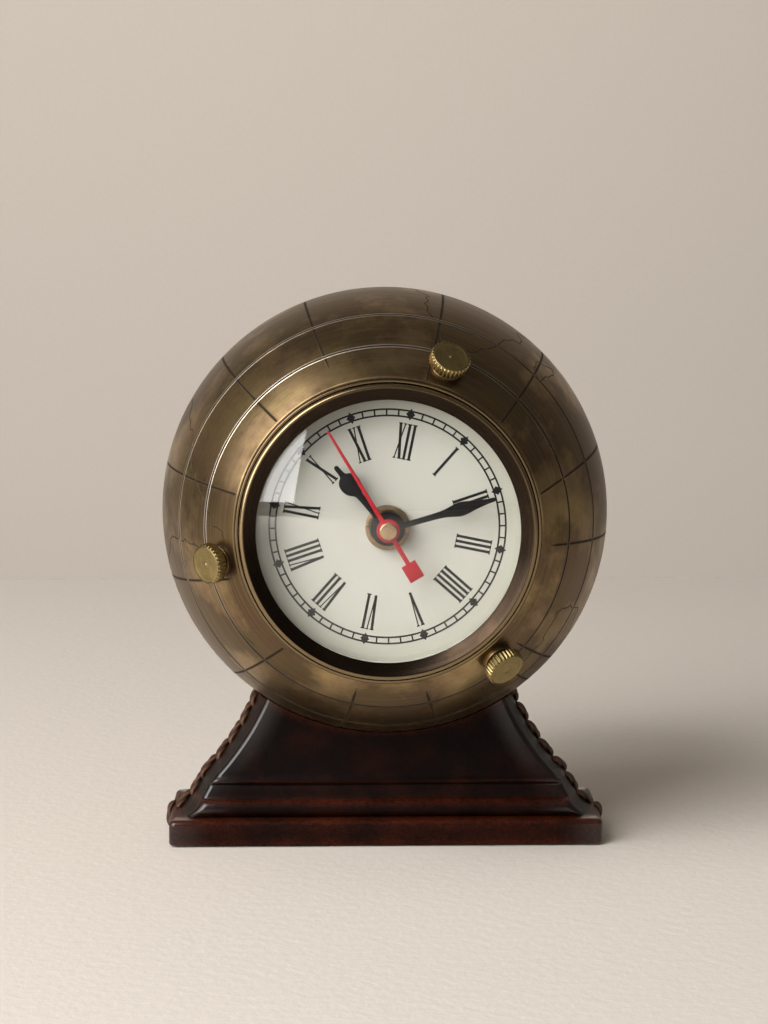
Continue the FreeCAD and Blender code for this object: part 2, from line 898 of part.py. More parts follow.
def make_bezel():
    seat = bezel_seat()
    crest = seat + at.crest_height
    bead = seat + at.bead_height
    soft = at.bezel_softening
    bezel = turned("clock_bezel", [
        (at.lip_radius, seat), (at.bezel_radius, seat), (at.bezel_radius, bead - soft),
        (at.bezel_radius - soft, bead), (at.groove_radius + at.groove_width, bead),
        (at.groove_radius, bead - soft), (at.crest_outer_radius, crest),
        (at.crest_outer_radius - soft, crest + soft),
        (at.crest_inner_radius + soft, crest + soft), (at.crest_inner_radius, crest),
        (at.lip_radius, seat + at.lip_height),
    ])
    keep("clock_bezel", bezel, clock_frame())


def make_drum():
    inner = lip_seat_radius()
    outer = drum_outer_radius()
    step = inner - at.drum_step
    drum = turned("clock_drum", [
        (step, at.drum_back_depth), (outer, at.drum_back_depth), (outer, bezel_seat()),
        (inner, bezel_seat()), (inner, plate_back()), (step, plate_back()),
    ])
    keep("clock_drum", drum, clock_frame())


def glass_bow():
    """Radius of the front of the glass, which meets the lip of the bezel at its shoulder."""
    shoulder = at.lip_radius - at.glass_side_gap
    return (shoulder * shoulder + at.glass_rise * at.glass_rise) / (at.glass_rise * 2)


def glass_centre():
    return bezel_seat() - at.glass_top_gap + at.glass_rise - glass_bow()


def glass_bottom():
    """Level of the back edge of the glass, where the spacer meets it."""
    back = glass_bow() - at.glass_thickness
    return glass_centre() + half_chord(back, at.lip_radius + at.glass_edge_width)


def make_glass():
    """A domed glass: the cap of a large sphere, hollowed by a smaller sphere behind it."""
    edge = at.lip_radius + at.glass_edge_width
    apex = glass_centre() + glass_bow()
    blank = padded("glass_blank", [], [((ZERO, ZERO), edge)], at.dial_depth,
                   apex - at.dial_depth + at.cut_overrun)
    dome = combine("Common", "glass_dome", blank, ball("glass_front", glass_bow(),
                                                       glass_centre()))
    back = ball("glass_back", glass_bow() - at.glass_thickness, glass_centre())
    keep("glass", combine("Cut", "glass", dome, back), clock_frame())
    outside = lip_seat_radius() - at.spacer_side_gap
    top = glass_bottom() - at.spacer_top_gap
    spacer = turned("glass_spacer", [
        (outside - at.spacer_wall, at.dial_depth), (outside, at.dial_depth),
        (outside, top), (outside - at.spacer_wall, top),
    ])
    keep("glass_spacer", spacer, clock_frame())


def ring(name, inner, outer, bottom, thickness, place):
    body = padded(name, [], [((ZERO, ZERO), outer), ((ZERO, ZERO), inner)], bottom, thickness)
    keep(name, body, place)
    return body


def make_dial():
    outer = lip_seat_radius() - at.dial_side_gap
    hole = at.bush_thread_radius + at.bush_thread_gap
    place = clock_frame()
    ring("dial", hole, outer, dial_back(), at.dial_thickness, place)
    ring("dial_plate", hole, outer, plate_back(), at.dial_plate_thickness, place)
    ring("dial_washer", hole, at.washer_radius, case_front(), at.washer_thickness, place)
    nut = ring("dial_nut", at.bush_thread_radius, at.nut_radius, at.dial_depth,
               at.nut_thickness, place)
    half = at.nut_slot_width / 2
    slot = rectangle(at.bush_thread_radius / 2, -half, at.nut_radius + at.cut_overrun, half)
    cut = add_pocket(nut, "dial_nut_slot", [slot], [], at.dial_depth + at.nut_thickness,
                     at.nut_slot_depth)
    repeat_around(nut, cut, "dial_nut_slots", cut.Profile[0], as_size(2))


# Movement: case, cover and train plate

def polar(distance, direction):
    return (distance * cosine(direction), distance * sine(direction))


def third_place():
    return polar(at.third_distance, at.third_direction)


def fifth_place():
    return polar(at.fifth_distance, at.fifth_direction)


def rotor_place():
    start = fifth_place()
    step = polar(at.rotor_distance, at.rotor_direction)
    return (start[0] + step[0], start[1] + step[1])


def motion_place():
    return polar(at.motion_distance, at.motion_direction)


def make_case():
    half = at.case_half_size
    inner = half - at.case_wall
    floor = case_back() + at.case_wall
    case = padded("movement_case", [rounded_rectangle(half, half, at.case_corner_radius)], [],
                  case_back(), at.case_depth - at.cover_thickness)
    corner = at.case_corner_radius - at.case_wall
    train = [
        (-inner, at.train_floor), (inner, at.train_floor), (inner, inner - corner),
        (inner - corner, inner, corner, 1), (corner - inner, inner),
        (-inner, inner - corner, corner, 1),
    ]
    add_pocket(case, "train_chamber", [train], [], cover_back(), cover_back() - floor)
    reach = corner
    bay = [
        (-inner, reach - inner), (reach - inner, -inner, corner, 1), (inner - reach, -inner),
        (inner, reach - inner, corner, 1), (inner, at.bay_top), (-inner, at.bay_top),
    ]
    add_pocket(case, "battery_bay", [bay], [], case_back(), at.bay_depth, True)
    pivots = [(place(), at.arbor_radius + at.pivot_gap)
              for place in (third_place, fifth_place, rotor_place)]
    pivots.append(((ZERO, ZERO), at.seconds_arbor_radius + at.pivot_gap))
    add_pocket(case, "pivot_holes", [], pivots, floor, at.pivot_hole_depth)
    add_pocket(case, "knob_hole", [], [(motion_place(), at.motion_arbor_radius + at.pivot_gap)],
               floor, at.case_wall)
    posts = [((side, at.coil_height), at.stator_post_radius) for side in stator_corners()]
    add_pad(case, "stator_posts", [], posts, floor, at.stator_level - floor)
    keep("movement_case", case, clock_frame())


def stator_corners():
    middle = at.stator_half_span - at.stator_arm_width / 2
    return (-middle, middle)


def make_cover():
    outline = rounded_rectangle(at.case_half_size, at.case_half_size, at.case_corner_radius)
    cover = padded("movement_cover", [outline], [], cover_back(), at.cover_thickness)
    rise = at.dial_depth + at.bush_thread_rise - case_front()
    add_pad(cover, "threaded_bush", [], [((ZERO, ZERO), at.bush_thread_radius)], case_front(),
            rise)
    bore = at.hour_pipe_radius + at.pipe_gap
    add_pocket(cover, "bush_bore", [], [((ZERO, ZERO), bore)], case_front() + rise,
               rise + at.cover_thickness)
    keep("movement_cover", cover, clock_frame())


def make_train_plate():
    side = at.case_half_size - at.case_wall - at.plate_side_gap
    bottom = at.train_floor + at.plate_side_gap
    holes = [(third_place(), at.arbor_radius + at.pivot_gap),
             (motion_place(), at.motion_arbor_radius + at.pivot_gap),
             ((ZERO, ZERO), at.centre_pipe_flange + at.plate_pipe_gap)]
    top = at.plate_top
    edge = fifth_place()[1] - at.arbor_radius - at.pivot_gap - at.plate_side_gap
    plate = padded("train_plate", [rectangle(-side, bottom, side, top)], holes,
                   at.train_plate_depth, at.train_plate_thickness)
    add_pad(plate, "rotor_bridge", [rectangle(-side, edge, -at.plate_top * at.bridge_overlap_share, plate_ear())], [],
            at.train_plate_depth, at.train_plate_thickness)
    pivots = [(place(), at.arbor_radius + at.pivot_gap) for place in (fifth_place, rotor_place)]
    add_pocket(plate, "bridge_pivots", [], pivots, at.train_plate_depth + at.train_plate_thickness,
               at.train_plate_thickness)
    keep("train_plate", plate, clock_frame())


def plate_ear():
    return rotor_place()[1] + at.magnet_radius


# Movement: motor, circuit and battery

def make_motor():
    level = at.stator_level
    span = at.stator_half_span
    inner = span - at.stator_arm_width
    top = at.coil_height + at.core_half_width
    bottom = at.coil_height - at.core_half_width
    outline = rectangle(-span, at.stator_bar_bottom, span, top)
    window = rectangle(-inner, at.stator_bar_top, inner, bottom)
    stator = padded("stator", [outline, window], [], level, at.stator_thickness)
    bore = at.magnet_radius + at.stator_magnet_gap
    add_pad(stator, "stator_pole", [], [(rotor_place(), bore + at.stator_pole_wall)], level,
            at.stator_thickness)
    add_pocket(stator, "stator_bore", [], [(rotor_place(), bore)], level + at.stator_thickness,
               at.stator_thickness)
    keep("stator", stator, clock_frame())
    make_coil(level + at.stator_thickness / 2)


def make_coil(axis_level):
    """Bobbin and winding, turned along the core and lying left to right."""
    half = at.coil_half_length
    flange = at.bobbin_flange_thickness
    tube = at.core_half_width * math.sqrt(2) + at.bobbin_wall
    bobbin = turned("bobbin_blank", [
        (ZERO, -half - flange), (at.bobbin_flange_radius, -half - flange),
        (at.bobbin_flange_radius, -half), (tube, -half), (tube, half),
        (at.bobbin_flange_radius, half), (at.bobbin_flange_radius, half + flange),
        (ZERO, half + flange),
    ])
    slot = doc.addObject("Part::Box", "core_slot")
    wide = at.core_half_width + at.core_gap
    tall = at.stator_thickness / 2 + at.core_gap
    length = half + flange + at.cut_overrun
    bind(slot, "Length", tall * 2)
    bind(slot, "Width", wide * 2)
    bind(slot, "Height", length * 2)
    bind(slot, "Placement.Base.x", -tall)
    bind(slot, "Placement.Base.y", -wide)
    bind(slot, "Placement.Base.z", -length)
    place = clock_frame() * shift(ZERO, at.coil_height, axis_level) * turn(Y_AXIS, 90)
    keep("coil_bobbin", combine("Cut", "coil_bobbin", bobbin, slot), place)
    winding = turned("coil_winding", [
        (tube, -half), (at.coil_radius, -half), (at.coil_radius, half), (tube, half),
    ])
    keep("coil_winding", winding, place)


def make_circuit():
    level = cover_back() - at.board_thickness
    corner = at.case_corner_radius - at.case_wall
    half = min_size(at.board_half_length, at.case_half_size - at.case_wall - corner)
    board = padded("circuit_board", [rectangle(-half, at.board_bottom, half, at.board_top)], [],
                   level, at.board_thickness)
    keep("circuit_board", board, clock_frame())
    crystal = cylinder("quartz_crystal", at.crystal_radius, at.crystal_length)
    place = clock_frame() * shift(at.crystal_place, at.crystal_height,
                                  level - at.crystal_radius) * turn(Y_AXIS, 90)
    keep("quartz_crystal", crystal, place * shift(ZERO, ZERO, -at.crystal_length / 2))


def min_size(first, second):
    return first if float(first) <= float(second) else second


def bay_middle():
    return (at.bay_top - at.case_half_size + at.case_wall) / 2


def cell_level():
    return case_back() + at.bay_depth - at.cell_gap - at.cell_radius


def make_battery():
    half = at.cell_length / 2
    cell = turned("battery", [
        (ZERO, -half), (at.cell_radius, -half), (at.cell_radius, half),
        (at.cell_nub_radius, half), (at.cell_nub_radius, half + at.cell_nub_height),
        (ZERO, half + at.cell_nub_height),
    ])
    place = clock_frame() * shift(ZERO, bay_middle(), cell_level()) * turn(Y_AXIS, 90)
    keep("battery", cell, place)
    wall = at.case_half_size - at.case_wall
    thick = at.contact_thickness
    wide = at.contact_half_width
    for label, sign in (("plus", 1), ("minus", -1)):
        left = wall - thick if sign > 0 else -wall
        middle = bay_middle()
        outline = rectangle(left, middle - wide, left + thick, middle + wide)
        contact = padded(f"contact_{label}", [outline], [], cell_level() - wide, wide * 2)
        place = clock_frame()
        if sign < 0:
            start = shift(-wall + thick, middle, cell_level()) * turn(Y_AXIS, 90)
            bump = cylinder("contact_bump", at.contact_spring_radius,
                            wall - thick - half - at.contact_spring_gap, start)
            contact = combine("Fuse", "contact_minus_sprung", contact, bump)
        keep(f"contact_{label}", contact, place)


# Movement: gear train

def wheel_face(teeth, module, phase, level, bore):
    """A toothed outline with straight-sided teeth, one of them centred on the phase angle."""
    pitch = 2 * math.pi / teeth
    pitch_radius = module * teeth / 2
    tip = pitch_radius + module * float(at.tooth_tip_share)
    foot = pitch_radius - module * float(at.tooth_root_share)
    base = pitch * float(at.tooth_base_share) / 2
    land = pitch * float(at.tooth_land_share) / 2
    points = []
    for index in range(teeth):
        middle = phase + index * pitch
        for radius, angle in ((foot, middle - base), (tip, middle - land), (tip, middle + land),
                              (foot, middle + base)):
            points.append(FreeCAD.Vector(radius * math.cos(angle), radius * math.sin(angle),
                                         level))
    face = Part.Face(Part.makePolygon(points + points[:1]))
    if bore > 0:
        rim = Part.makeCircle(bore, FreeCAD.Vector(0, 0, level))
        face = face.cut(Part.Face(Part.Wire(rim)))
    return face


def toothed(teeth, module, phase, level, bore=0.0):
    """One wheel or pinion of the train as a solid."""
    face = wheel_face(int(round(float(teeth))), float(module), phase, float(level), float(bore))
    return face.extrude(FreeCAD.Vector(0, 0, float(at.wheel_thickness)))


def rod(radius, low, high):
    return Part.makeCylinder(float(radius), float(high) - float(low),
                             FreeCAD.Vector(0, 0, float(low)))


def pair_module(distance, first, second):
    """The module that puts two wheels in mesh at a distance."""
    return distance * 2 / (first + second)


def meshing_phase(direction, phase, teeth, other_teeth):
    """The phase of a wheel that meets another wheel, seen along the line of their centres."""
    ratio = float(teeth) / float(other_teeth)
    return direction + math.pi - (phase - direction) * ratio - math.pi / float(other_teeth)


def radians_of(angle):
    return math.radians(float(angle))


def joined(name, shapes, place):
    """Fuse shapes that share an arbor, and keep them as one piece."""
    solid = shapes[0].multiFuse(shapes[1:]).removeSplitter() if len(shapes) > 1 else shapes[0]
    keep(name, solid_feature(name, solid), place)


def make_train():
    floor = case_back() + at.case_wall
    low = floor - at.pivot_hole_depth + at.pivot_end_gap
    high = at.train_plate_depth + at.train_plate_thickness - at.pivot_end_gap
    frame = clock_frame()

    # The rotor turns the fifth wheel, whose pinion turns the seconds wheel.
    module = pair_module(at.rotor_distance, at.rotor_teeth, at.fifth_wheel_teeth)
    toward_rotor = radians_of(at.rotor_direction)
    rotor_phase = meshing_phase(toward_rotor, 0.0, at.fifth_wheel_teeth, at.rotor_teeth)
    rotor = [rod(at.arbor_radius, low, high),
             toothed(at.rotor_teeth, module, rotor_phase, at.rotor_level),
             rod(at.magnet_radius, at.magnet_level, at.magnet_level + at.magnet_height)]
    joined("rotor", rotor, frame * shift(*rotor_place(), ZERO))

    seconds_module = pair_module(at.fifth_distance, at.fifth_pinion_teeth,
                                 at.seconds_wheel_teeth)
    toward_fifth = radians_of(at.fifth_direction)
    fifth_phase = meshing_phase(toward_fifth, 0.0, at.seconds_wheel_teeth, at.fifth_pinion_teeth)
    fifth = [rod(at.arbor_radius, low, high),
             toothed(at.fifth_wheel_teeth, module, 0.0, at.rotor_level),
             toothed(at.fifth_pinion_teeth, seconds_module, fifth_phase, at.seconds_level)]
    joined("fifth_wheel", fifth, frame * shift(*fifth_place(), ZERO))

    # The seconds pinion turns the third wheel, whose pinion turns the centre wheel.
    third_module = pair_module(at.third_distance, at.seconds_pinion_teeth, at.third_wheel_teeth)
    centre_module = pair_module(at.third_distance, at.third_pinion_teeth, at.centre_wheel_teeth)
    seconds = [rod(at.seconds_arbor_radius, low, at.second_hand_level + at.hand_thickness),
               toothed(at.seconds_wheel_teeth, seconds_module, 0.0, at.seconds_level),
               toothed(at.seconds_pinion_teeth, third_module, 0.0, at.third_level)]
    joined("seconds_wheel", seconds, frame)

    toward_third = radians_of(at.third_direction)
    third_phase = meshing_phase(toward_third, 0.0, at.seconds_pinion_teeth, at.third_wheel_teeth)
    third = [rod(at.arbor_radius, low, high),
             toothed(at.third_wheel_teeth, third_module, third_phase, at.third_level),
             toothed(at.third_pinion_teeth, centre_module, 0.0, at.centre_level)]
    joined("third_wheel", third, frame * shift(*third_place(), ZERO))

    centre_phase = meshing_phase(toward_third + math.pi, 0.0, at.third_pinion_teeth,
                                 at.centre_wheel_teeth)
    bore = at.centre_pipe_radius + at.pivot_gap
    joined("centre_wheel", [toothed(at.centre_wheel_teeth, centre_module, centre_phase,
                                    at.centre_level, bore)], frame)

    # The centre pipe carries the minute hand and turns the motion work.
    work_module = pair_module(at.motion_distance, at.centre_pinion_teeth, at.motion_wheel_teeth)
    hour_module = pair_module(at.motion_distance, at.motion_pinion_teeth, at.hour_wheel_teeth)
    pipe_low = at.centre_level - at.flange_thickness
    flange_low = at.centre_level + at.wheel_thickness + at.pivot_end_gap
    pipe = [rod(at.centre_pipe_radius, pipe_low, at.minute_hand_level + at.hand_thickness),
            rod(at.centre_pipe_flange, flange_low, flange_low + at.flange_thickness),
            toothed(at.centre_pinion_teeth, work_module, 0.0, at.motion_level)]
    solid = pipe[0].multiFuse(pipe[1:]).removeSplitter()
    solid = solid.cut(rod(at.centre_pipe_bore, pipe_low - at.cut_overrun,
                          at.minute_hand_level + at.hand_thickness + at.cut_overrun))
    keep("centre_pipe", solid_feature("centre_pipe", solid), frame)

    toward_motion = radians_of(at.motion_direction)
    motion_phase = meshing_phase(toward_motion, 0.0, at.centre_pinion_teeth,
                                 at.motion_wheel_teeth)
    motion = [rod(at.motion_arbor_radius, knob_back(), cover_back() - at.plate_side_gap),
              toothed(at.motion_wheel_teeth, work_module, motion_phase, at.motion_level),
              toothed(at.motion_pinion_teeth, hour_module, 0.0, at.hour_level)]
    joined("motion_wheel", motion, frame * shift(*motion_place(), ZERO))

    hour_phase = meshing_phase(toward_motion + math.pi, 0.0, at.motion_pinion_teeth,
                               at.hour_wheel_teeth)
    hour_top = at.hour_hand_level + at.hand_thickness
    hour = [toothed(at.hour_wheel_teeth, hour_module, hour_phase, at.hour_level),
            rod(at.hour_pipe_radius, at.hour_level, hour_top)]
    solid = hour[0].fuse(hour[1]).removeSplitter()
    solid = solid.cut(rod(at.centre_pipe_radius + at.pipe_gap, at.hour_level - at.cut_overrun,
                          hour_top + at.cut_overrun))
    keep("hour_wheel", solid_feature("hour_wheel", solid), frame)


def knob_back():
    return case_back() - at.knob_gap - at.knob_thickness


def make_knob():
    place = clock_frame() * shift(*motion_place(), ZERO)
    knob = padded("setting_knob", [], [((ZERO, ZERO), at.knob_radius)], knob_back(),
                  at.knob_thickness)
    ridge_cuts(knob, at.knob_radius, at.knob_knurl_depth, at.knob_knurl_count,
               knob_back() - at.cut_overrun / 2, at.knob_thickness + at.cut_overrun)
    cut = add_pocket(knob, "knob_bore", [], [((ZERO, ZERO), at.motion_arbor_radius)],
                     knob_back() + at.knob_thickness, at.knob_thickness)
    knob.Tip = cut
    keep("setting_knob", knob, place)


# Hands

def hand_outline(hub, stem, bulge_place, bulge, tip, length, bulge_length):
    """The right side of a hand that points up: hub, stem, bulge and blunt tip."""
    return [
        (stem, half_chord(hub, stem)), (stem, bulge_place - bulge_length),
        (bulge, bulge_place), (tip, bulge_place + bulge_length), (tip * at.hand_point_share, length),
    ]


def whole_hand(name, hub, bore, half, level, direction):
    """Mirror half a hand, close it round the hub, and put it at its time."""
    stem = half[0][0]
    left = [(-x, y) for x, y in reversed(half)]
    bottom = [(-hub, ZERO, hub, 1), (ZERO, -hub, hub, 1), (hub, ZERO, hub, 1)]
    start = (stem, half[0][1], hub, 1)
    outline = [start] + half[1:] + left + bottom
    body = padded(name, [outline], [((ZERO, ZERO), bore)], level, at.hand_thickness)
    keep(name, body, globe_frame() * turn(Z_AXIS, direction))


def make_hands():
    hour = hand_outline(at.hour_hub_radius, at.hour_stem_half_width, at.hour_bulge_place,
                        at.hour_bulge_half_width, at.hour_tip_half_width, at.hour_hand_length,
                        at.hour_bulge_half_width)
    whole_hand("hour_hand", at.hour_hub_radius, at.hour_pipe_radius, hour, at.hour_hand_level,
               at.hour_direction)
    minute = hand_outline(at.minute_hub_radius, at.minute_stem_half_width,
                          at.minute_bulge_place, at.minute_bulge_half_width,
                          at.minute_tip_half_width, at.minute_hand_length,
                          at.minute_bulge_half_width * at.minute_bulge_share)
    whole_hand("minute_hand", at.minute_hub_radius, at.centre_pipe_radius, minute,
               at.minute_hand_level, at.minute_direction)
    make_second_hand()


def make_second_hand():
    hub = at.second_hub_radius
    stem = at.second_stem_half_width
    weight = at.second_weight_half_width
    tail = -at.second_tail_length
    neck = tail + at.second_weight_length
    hub_edge = half_chord(hub, stem)
    outline = [
        (stem, hub_edge, hub, 1), (at.second_tip_half_width, at.second_hand_length),
        (-at.second_tip_half_width, at.second_hand_length), (-stem, hub_edge),
        (-stem, -hub_edge, hub, 1), (-stem, neck), (-weight, neck), (-weight, tail),
        (weight, tail), (weight, neck), (stem, neck), (stem, -hub_edge),
    ]
    hand = padded("second_hand", [outline], [((ZERO, ZERO), at.seconds_arbor_radius)],
                  at.second_hand_level, at.hand_thickness)
    keep("second_hand", hand, globe_frame() * turn(Z_AXIS, at.second_direction))
    base = at.second_hand_level + at.hand_thickness
    top = base + at.second_cap_height
    cap = turned("second_hand_cap", [
        (ZERO, base), (at.second_cap_radius, base),
        (at.second_cap_radius, top - at.second_cap_round),
        (at.second_cap_radius - at.second_cap_round, top), (ZERO, top),
    ])
    keep("second_hand_cap", cap, globe_frame())


def check_and_write():
    """Every feature must have been computed, and every piece valid, before a file is written."""
    doc.recompute()
    for thing in doc.Objects:
        if "Invalid" in thing.State or "Error" in thing.State:
            raise RuntimeError(f"{thing.Name} is in state {thing.State}")
    for name, thing in NODES.items():
        if thing.Shape.isNull() or not thing.Shape.isValid() or not thing.Shape.Solids:
            raise RuntimeError(f"{name} is not a valid solid")
    os.makedirs("parts", exist_ok=True)
    for name, thing in NODES.items():
        thing.Shape.exportStep(f"parts/{name}.step")
        print(f"{name}: {len(thing.Shape.Solids)} solid, {thing.Shape.Volume:.1f} mm3")


make_lacing(make_stand())
make_globe_halves()
make_collar()
make_bushes()
make_thumb_screws()
make_bezel()
make_drum()
make_glass()
make_dial()
make_case()
make_cover()
make_train_plate()
make_motor()
make_circuit()
make_battery()
make_train()
make_knob()
make_hands()
check_and_write()
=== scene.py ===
import logging
import math
from contextlib import contextmanager
from dataclasses import dataclass, field
from enum import Enum
from typing import ClassVar, Iterable, Iterator, Sequence

import bmesh
import bpy
from bpy.types import Material, Mesh, Node, NodeSocket, NodeTree, Object, bpy_prop_collection
from mathutils import Matrix, Vector, geometry, noise


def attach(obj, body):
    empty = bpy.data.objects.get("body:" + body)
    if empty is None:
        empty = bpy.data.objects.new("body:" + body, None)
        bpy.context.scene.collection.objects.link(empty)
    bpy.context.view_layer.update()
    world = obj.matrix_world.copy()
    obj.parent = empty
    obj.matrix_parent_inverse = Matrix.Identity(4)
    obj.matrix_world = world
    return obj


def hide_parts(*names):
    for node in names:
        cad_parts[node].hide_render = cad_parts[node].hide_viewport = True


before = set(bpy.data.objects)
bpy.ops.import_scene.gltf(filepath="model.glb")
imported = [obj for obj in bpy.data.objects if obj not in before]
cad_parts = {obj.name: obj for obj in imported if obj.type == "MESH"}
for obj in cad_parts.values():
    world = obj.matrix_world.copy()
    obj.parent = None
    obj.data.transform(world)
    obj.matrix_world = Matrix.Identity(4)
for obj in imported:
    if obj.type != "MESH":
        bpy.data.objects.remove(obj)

log = logging.getLogger("world_time_clock")
logging.basicConfig(level=logging.INFO, format="%(message)s")

# Lengths are in millimetres and angles in degrees; MM turns millimetres into metres.

MM = 0.001
GLOBE_HEIGHT = 85.0
DIAL_ROLL = 11.5
SEED = 7
TO_DIAL = (0.0, 0.0, -GLOBE_HEIGHT * MM)

SMOOTH_LIMIT = 38.0
FLAT_LIMIT = 2.0
EASED_EDGE = 30.0
CAD_WELD = 0.002

Feed = float | int | bool | tuple | NodeSocket
Point = tuple[float, ...]


# Places

def dial_frame(roll: float = 0.0) -> Matrix:
    """The frame of the dial in millimetres: x right, y up and z out of the dial.

    Args:
        roll: how far the frame is turned clockwise about the dial's axis, in degrees.

    Returns:
        The matrix from that frame to the row frame.
    """
    upright = Matrix(((1, 0, 0), (0, 0, -1), (0, 1, 0))).to_4x4()
    turned = Matrix.Rotation(math.radians(-roll), 4, "Z")
    return Matrix.Translation((0, 0, GLOBE_HEIGHT)) @ upright @ turned


def screw_frame(around: float, tilt: float) -> Matrix:
    """The frame of a thumb screw, its z along the screw, from the screw's clockwise angle and tilt."""
    lean = Matrix.Rotation(math.radians(-tilt), 4, "X")
    return dial_frame() @ Matrix.Rotation(math.radians(-around), 4, "Z") @ lean


def on_globe(around: float, off_axis: float) -> Vector:
    """Unit vector in the dial's frame, from a clockwise angle and an angle off the axis."""
    turn, tilt = math.radians(around), math.radians(off_axis)
    return Vector((math.sin(tilt) * math.sin(turn), math.sin(tilt) * math.cos(turn), math.cos(tilt)))


def spaced(start: float, end: float, steps: int) -> list[float]:
    """Numbers from start to end in equal steps."""
    return [start + (end - start) * step / steps for step in range(steps + 1)]


def hump(where: float, height: float, middle: float, width: float) -> float:
    """The height at a place of a smooth hump with that height, middle and width."""
    return height * math.exp(-((where - middle) / width) ** 2)


# Meshes

@dataclass
class Shape:
    """Vertices in millimetres, faces, and values that belong to them.

    Attributes:
        vertices: the places of the vertices.
        faces: vertex numbers of each face.
        wraps: one pair for each vertex, the share of a turn and the length along a section.
        values: named vertex values, such as how deep in a groove a vertex lies.
    """

    vertices: list[Vector]
    faces: list[tuple[int, ...]]
    wraps: list[tuple[float, float]] | None = None
    values: dict[str, list[float]] | None = None

    def moved(self, place: Matrix) -> "Shape":
        """The same shape at another place."""
        spots = [place @ spot for spot in self.vertices]
        return Shape(spots, self.faces, self.wraps, self.values)

    def made(self, name: str, sharp: float = SMOOTH_LIMIT, merge: float = 0.0) -> Object:
        """Makes the object.

        Args:
            name: the object's name.
            sharp: edges above this angle stay sharp, in degrees.
            merge: vertices nearer than this are merged, in millimetres.

        Returns:
            The linked object, its place in its mesh.
        """
        mesh = bpy.data.meshes.new(name)
        mesh.from_pydata([spot * MM for spot in self.vertices], [], self.faces)
        for label, numbers in (self.values or {}).items():
            layer = mesh.attributes.new(label, "FLOAT", "POINT")
            layer.data.foreach_set("value", numbers)
        if self.wraps:
            layer = mesh.uv_layers.new(name="wrap")
            for face in mesh.polygons:
                spots = [self.wraps[number] for number in face.vertices]
                crossing = max(spot[0] for spot in spots) - min(spot[0] for spot in spots) > 0.5
                for corner, spot in zip(face.loop_indices, spots):
                    around = spot[0] + 1.0 if crossing and spot[0] < 0.5 else spot[0]
                    layer.data[corner].uv = (around, spot[1])
        tidy_mesh(mesh, sharp, merge * MM)
        return linked(name, mesh)


@contextmanager
def edited(mesh: Mesh) -> Iterator[bmesh.types.BMesh]:
    """Opens a mesh for editing and writes it back at the end.

    Args:
        mesh: the mesh, changed in place.

    Returns:
        The mesh as a BMesh.
    """
    work = bmesh.new()
    work.from_mesh(mesh)
    yield work
    work.to_mesh(mesh)
    work.free()


def smoothed(mesh: Mesh, sharp: float) -> None:
    """Shades a mesh smooth up to its edges above an angle."""
    mesh.shade_smooth()
    mesh.set_sharp_from_angle(angle=math.radians(sharp))


def tidy_mesh(mesh: Mesh, sharp: float, merge: float) -> None:
    """Merges doubles, turns the faces outwards and shades the mesh smooth.

    Args:
        mesh: the mesh, changed in place.
        sharp: edges above this angle stay sharp, in degrees.
        merge: merging distance in metres, none at zero.
    """
    with edited(mesh) as work:
        if merge:
            bmesh.ops.remove_doubles(work, verts=work.verts, dist=merge)
        bmesh.ops.recalc_face_normals(work, faces=work.faces)
    smoothed(mesh, sharp)


def linked(name: str, data: bpy.types.ID) -> Object:
    """Links a new object to the scene.

    Args:
        name: its name.
        data: its mesh, curve, light or camera.

    Returns:
        The object.
    """
    thing = bpy.data.objects.new(name, data)
    bpy.context.scene.collection.objects.link(thing)
    return thing


def joined(shapes: Sequence[Shape]) -> Shape:
    """Several shapes as one.

    Args:
        shapes: the shapes.

    Returns:
        The whole, with the vertex values and wraps of each.
    """
    vertices: list[Vector] = []
    faces: list[tuple[int, ...]] = []
    wraps: list[tuple[float, float]] = []
    values: dict[str, list[float]] = {}
    for shape in shapes:
        start = len(vertices)
        vertices += shape.vertices
        faces += [tuple(number + start for number in face) for face in shape.faces]
        wraps += shape.wraps or [(0.0, 0.0)] * len(shape.vertices)
        for label, numbers in (shape.values or {}).items():
            values.setdefault(label, [0.0] * start).extend(numbers)
    return Shape(vertices, faces, wraps, values)


def grid(rows: int, wide: int, closed: bool = False) -> list[tuple[int, ...]]:
    """The faces between rows of vertices.

    Args:
        rows: how many rows there are.
        wide: how many vertices lie in each.
        closed: whether each row runs back to its start.

    Returns:
        Four vertex numbers for each face.
    """
    faces = []
    for start in range(0, (rows - 1) * wide, wide):
        for step in range(wide if closed else wide - 1):
            near, far = start + step, start + (step + 1) % wide
            faces.append((near, far, far + wide, near + wide))
    return faces


def softened(corners: Sequence[Point], steps: int = 4) -> list[tuple[float, float]]:
    """A closed section with its corners rounded.

    Args:
        corners: places (radius, level), with a third number where the corner has a round.
        steps: how many edges make each round.

    Returns:
        The places of the rounded section.
    """
    section = []
    for index, corner in enumerate(corners):
        here = Vector(corner[:2])
        round_radius = corner[2] if len(corner) > 2 else 0.0
        back = Vector(corners[index - 1][:2]) - here
        ahead = Vector(corners[(index + 1) % len(corners)][:2]) - here
        if not round_radius:
            section.append(tuple(here))
            continue
        angle = back.angle(ahead)
        reach = min(round_radius / math.tan(angle / 2), back.length * 0.49, ahead.length * 0.49)
        start, end = here + back.normalized() * reach, here + ahead.normalized() * reach
        for step in range(steps + 1):
            share = step / steps
            first, second = start.lerp(here, share), here.lerp(end, share)
            section.append(tuple(first.lerp(second, share)))
    return section


def arc(centre: Point, radius: float, start: float, end: float, steps: int) -> list[Point]:
    """Places along an arc of that many edges, from a start angle to an end angle."""
    turns = [math.radians(angle) for angle in spaced(start, end, steps)]
    return [(centre[0] + radius * math.cos(turn), centre[1] + radius * math.sin(turn))
            for turn in turns]


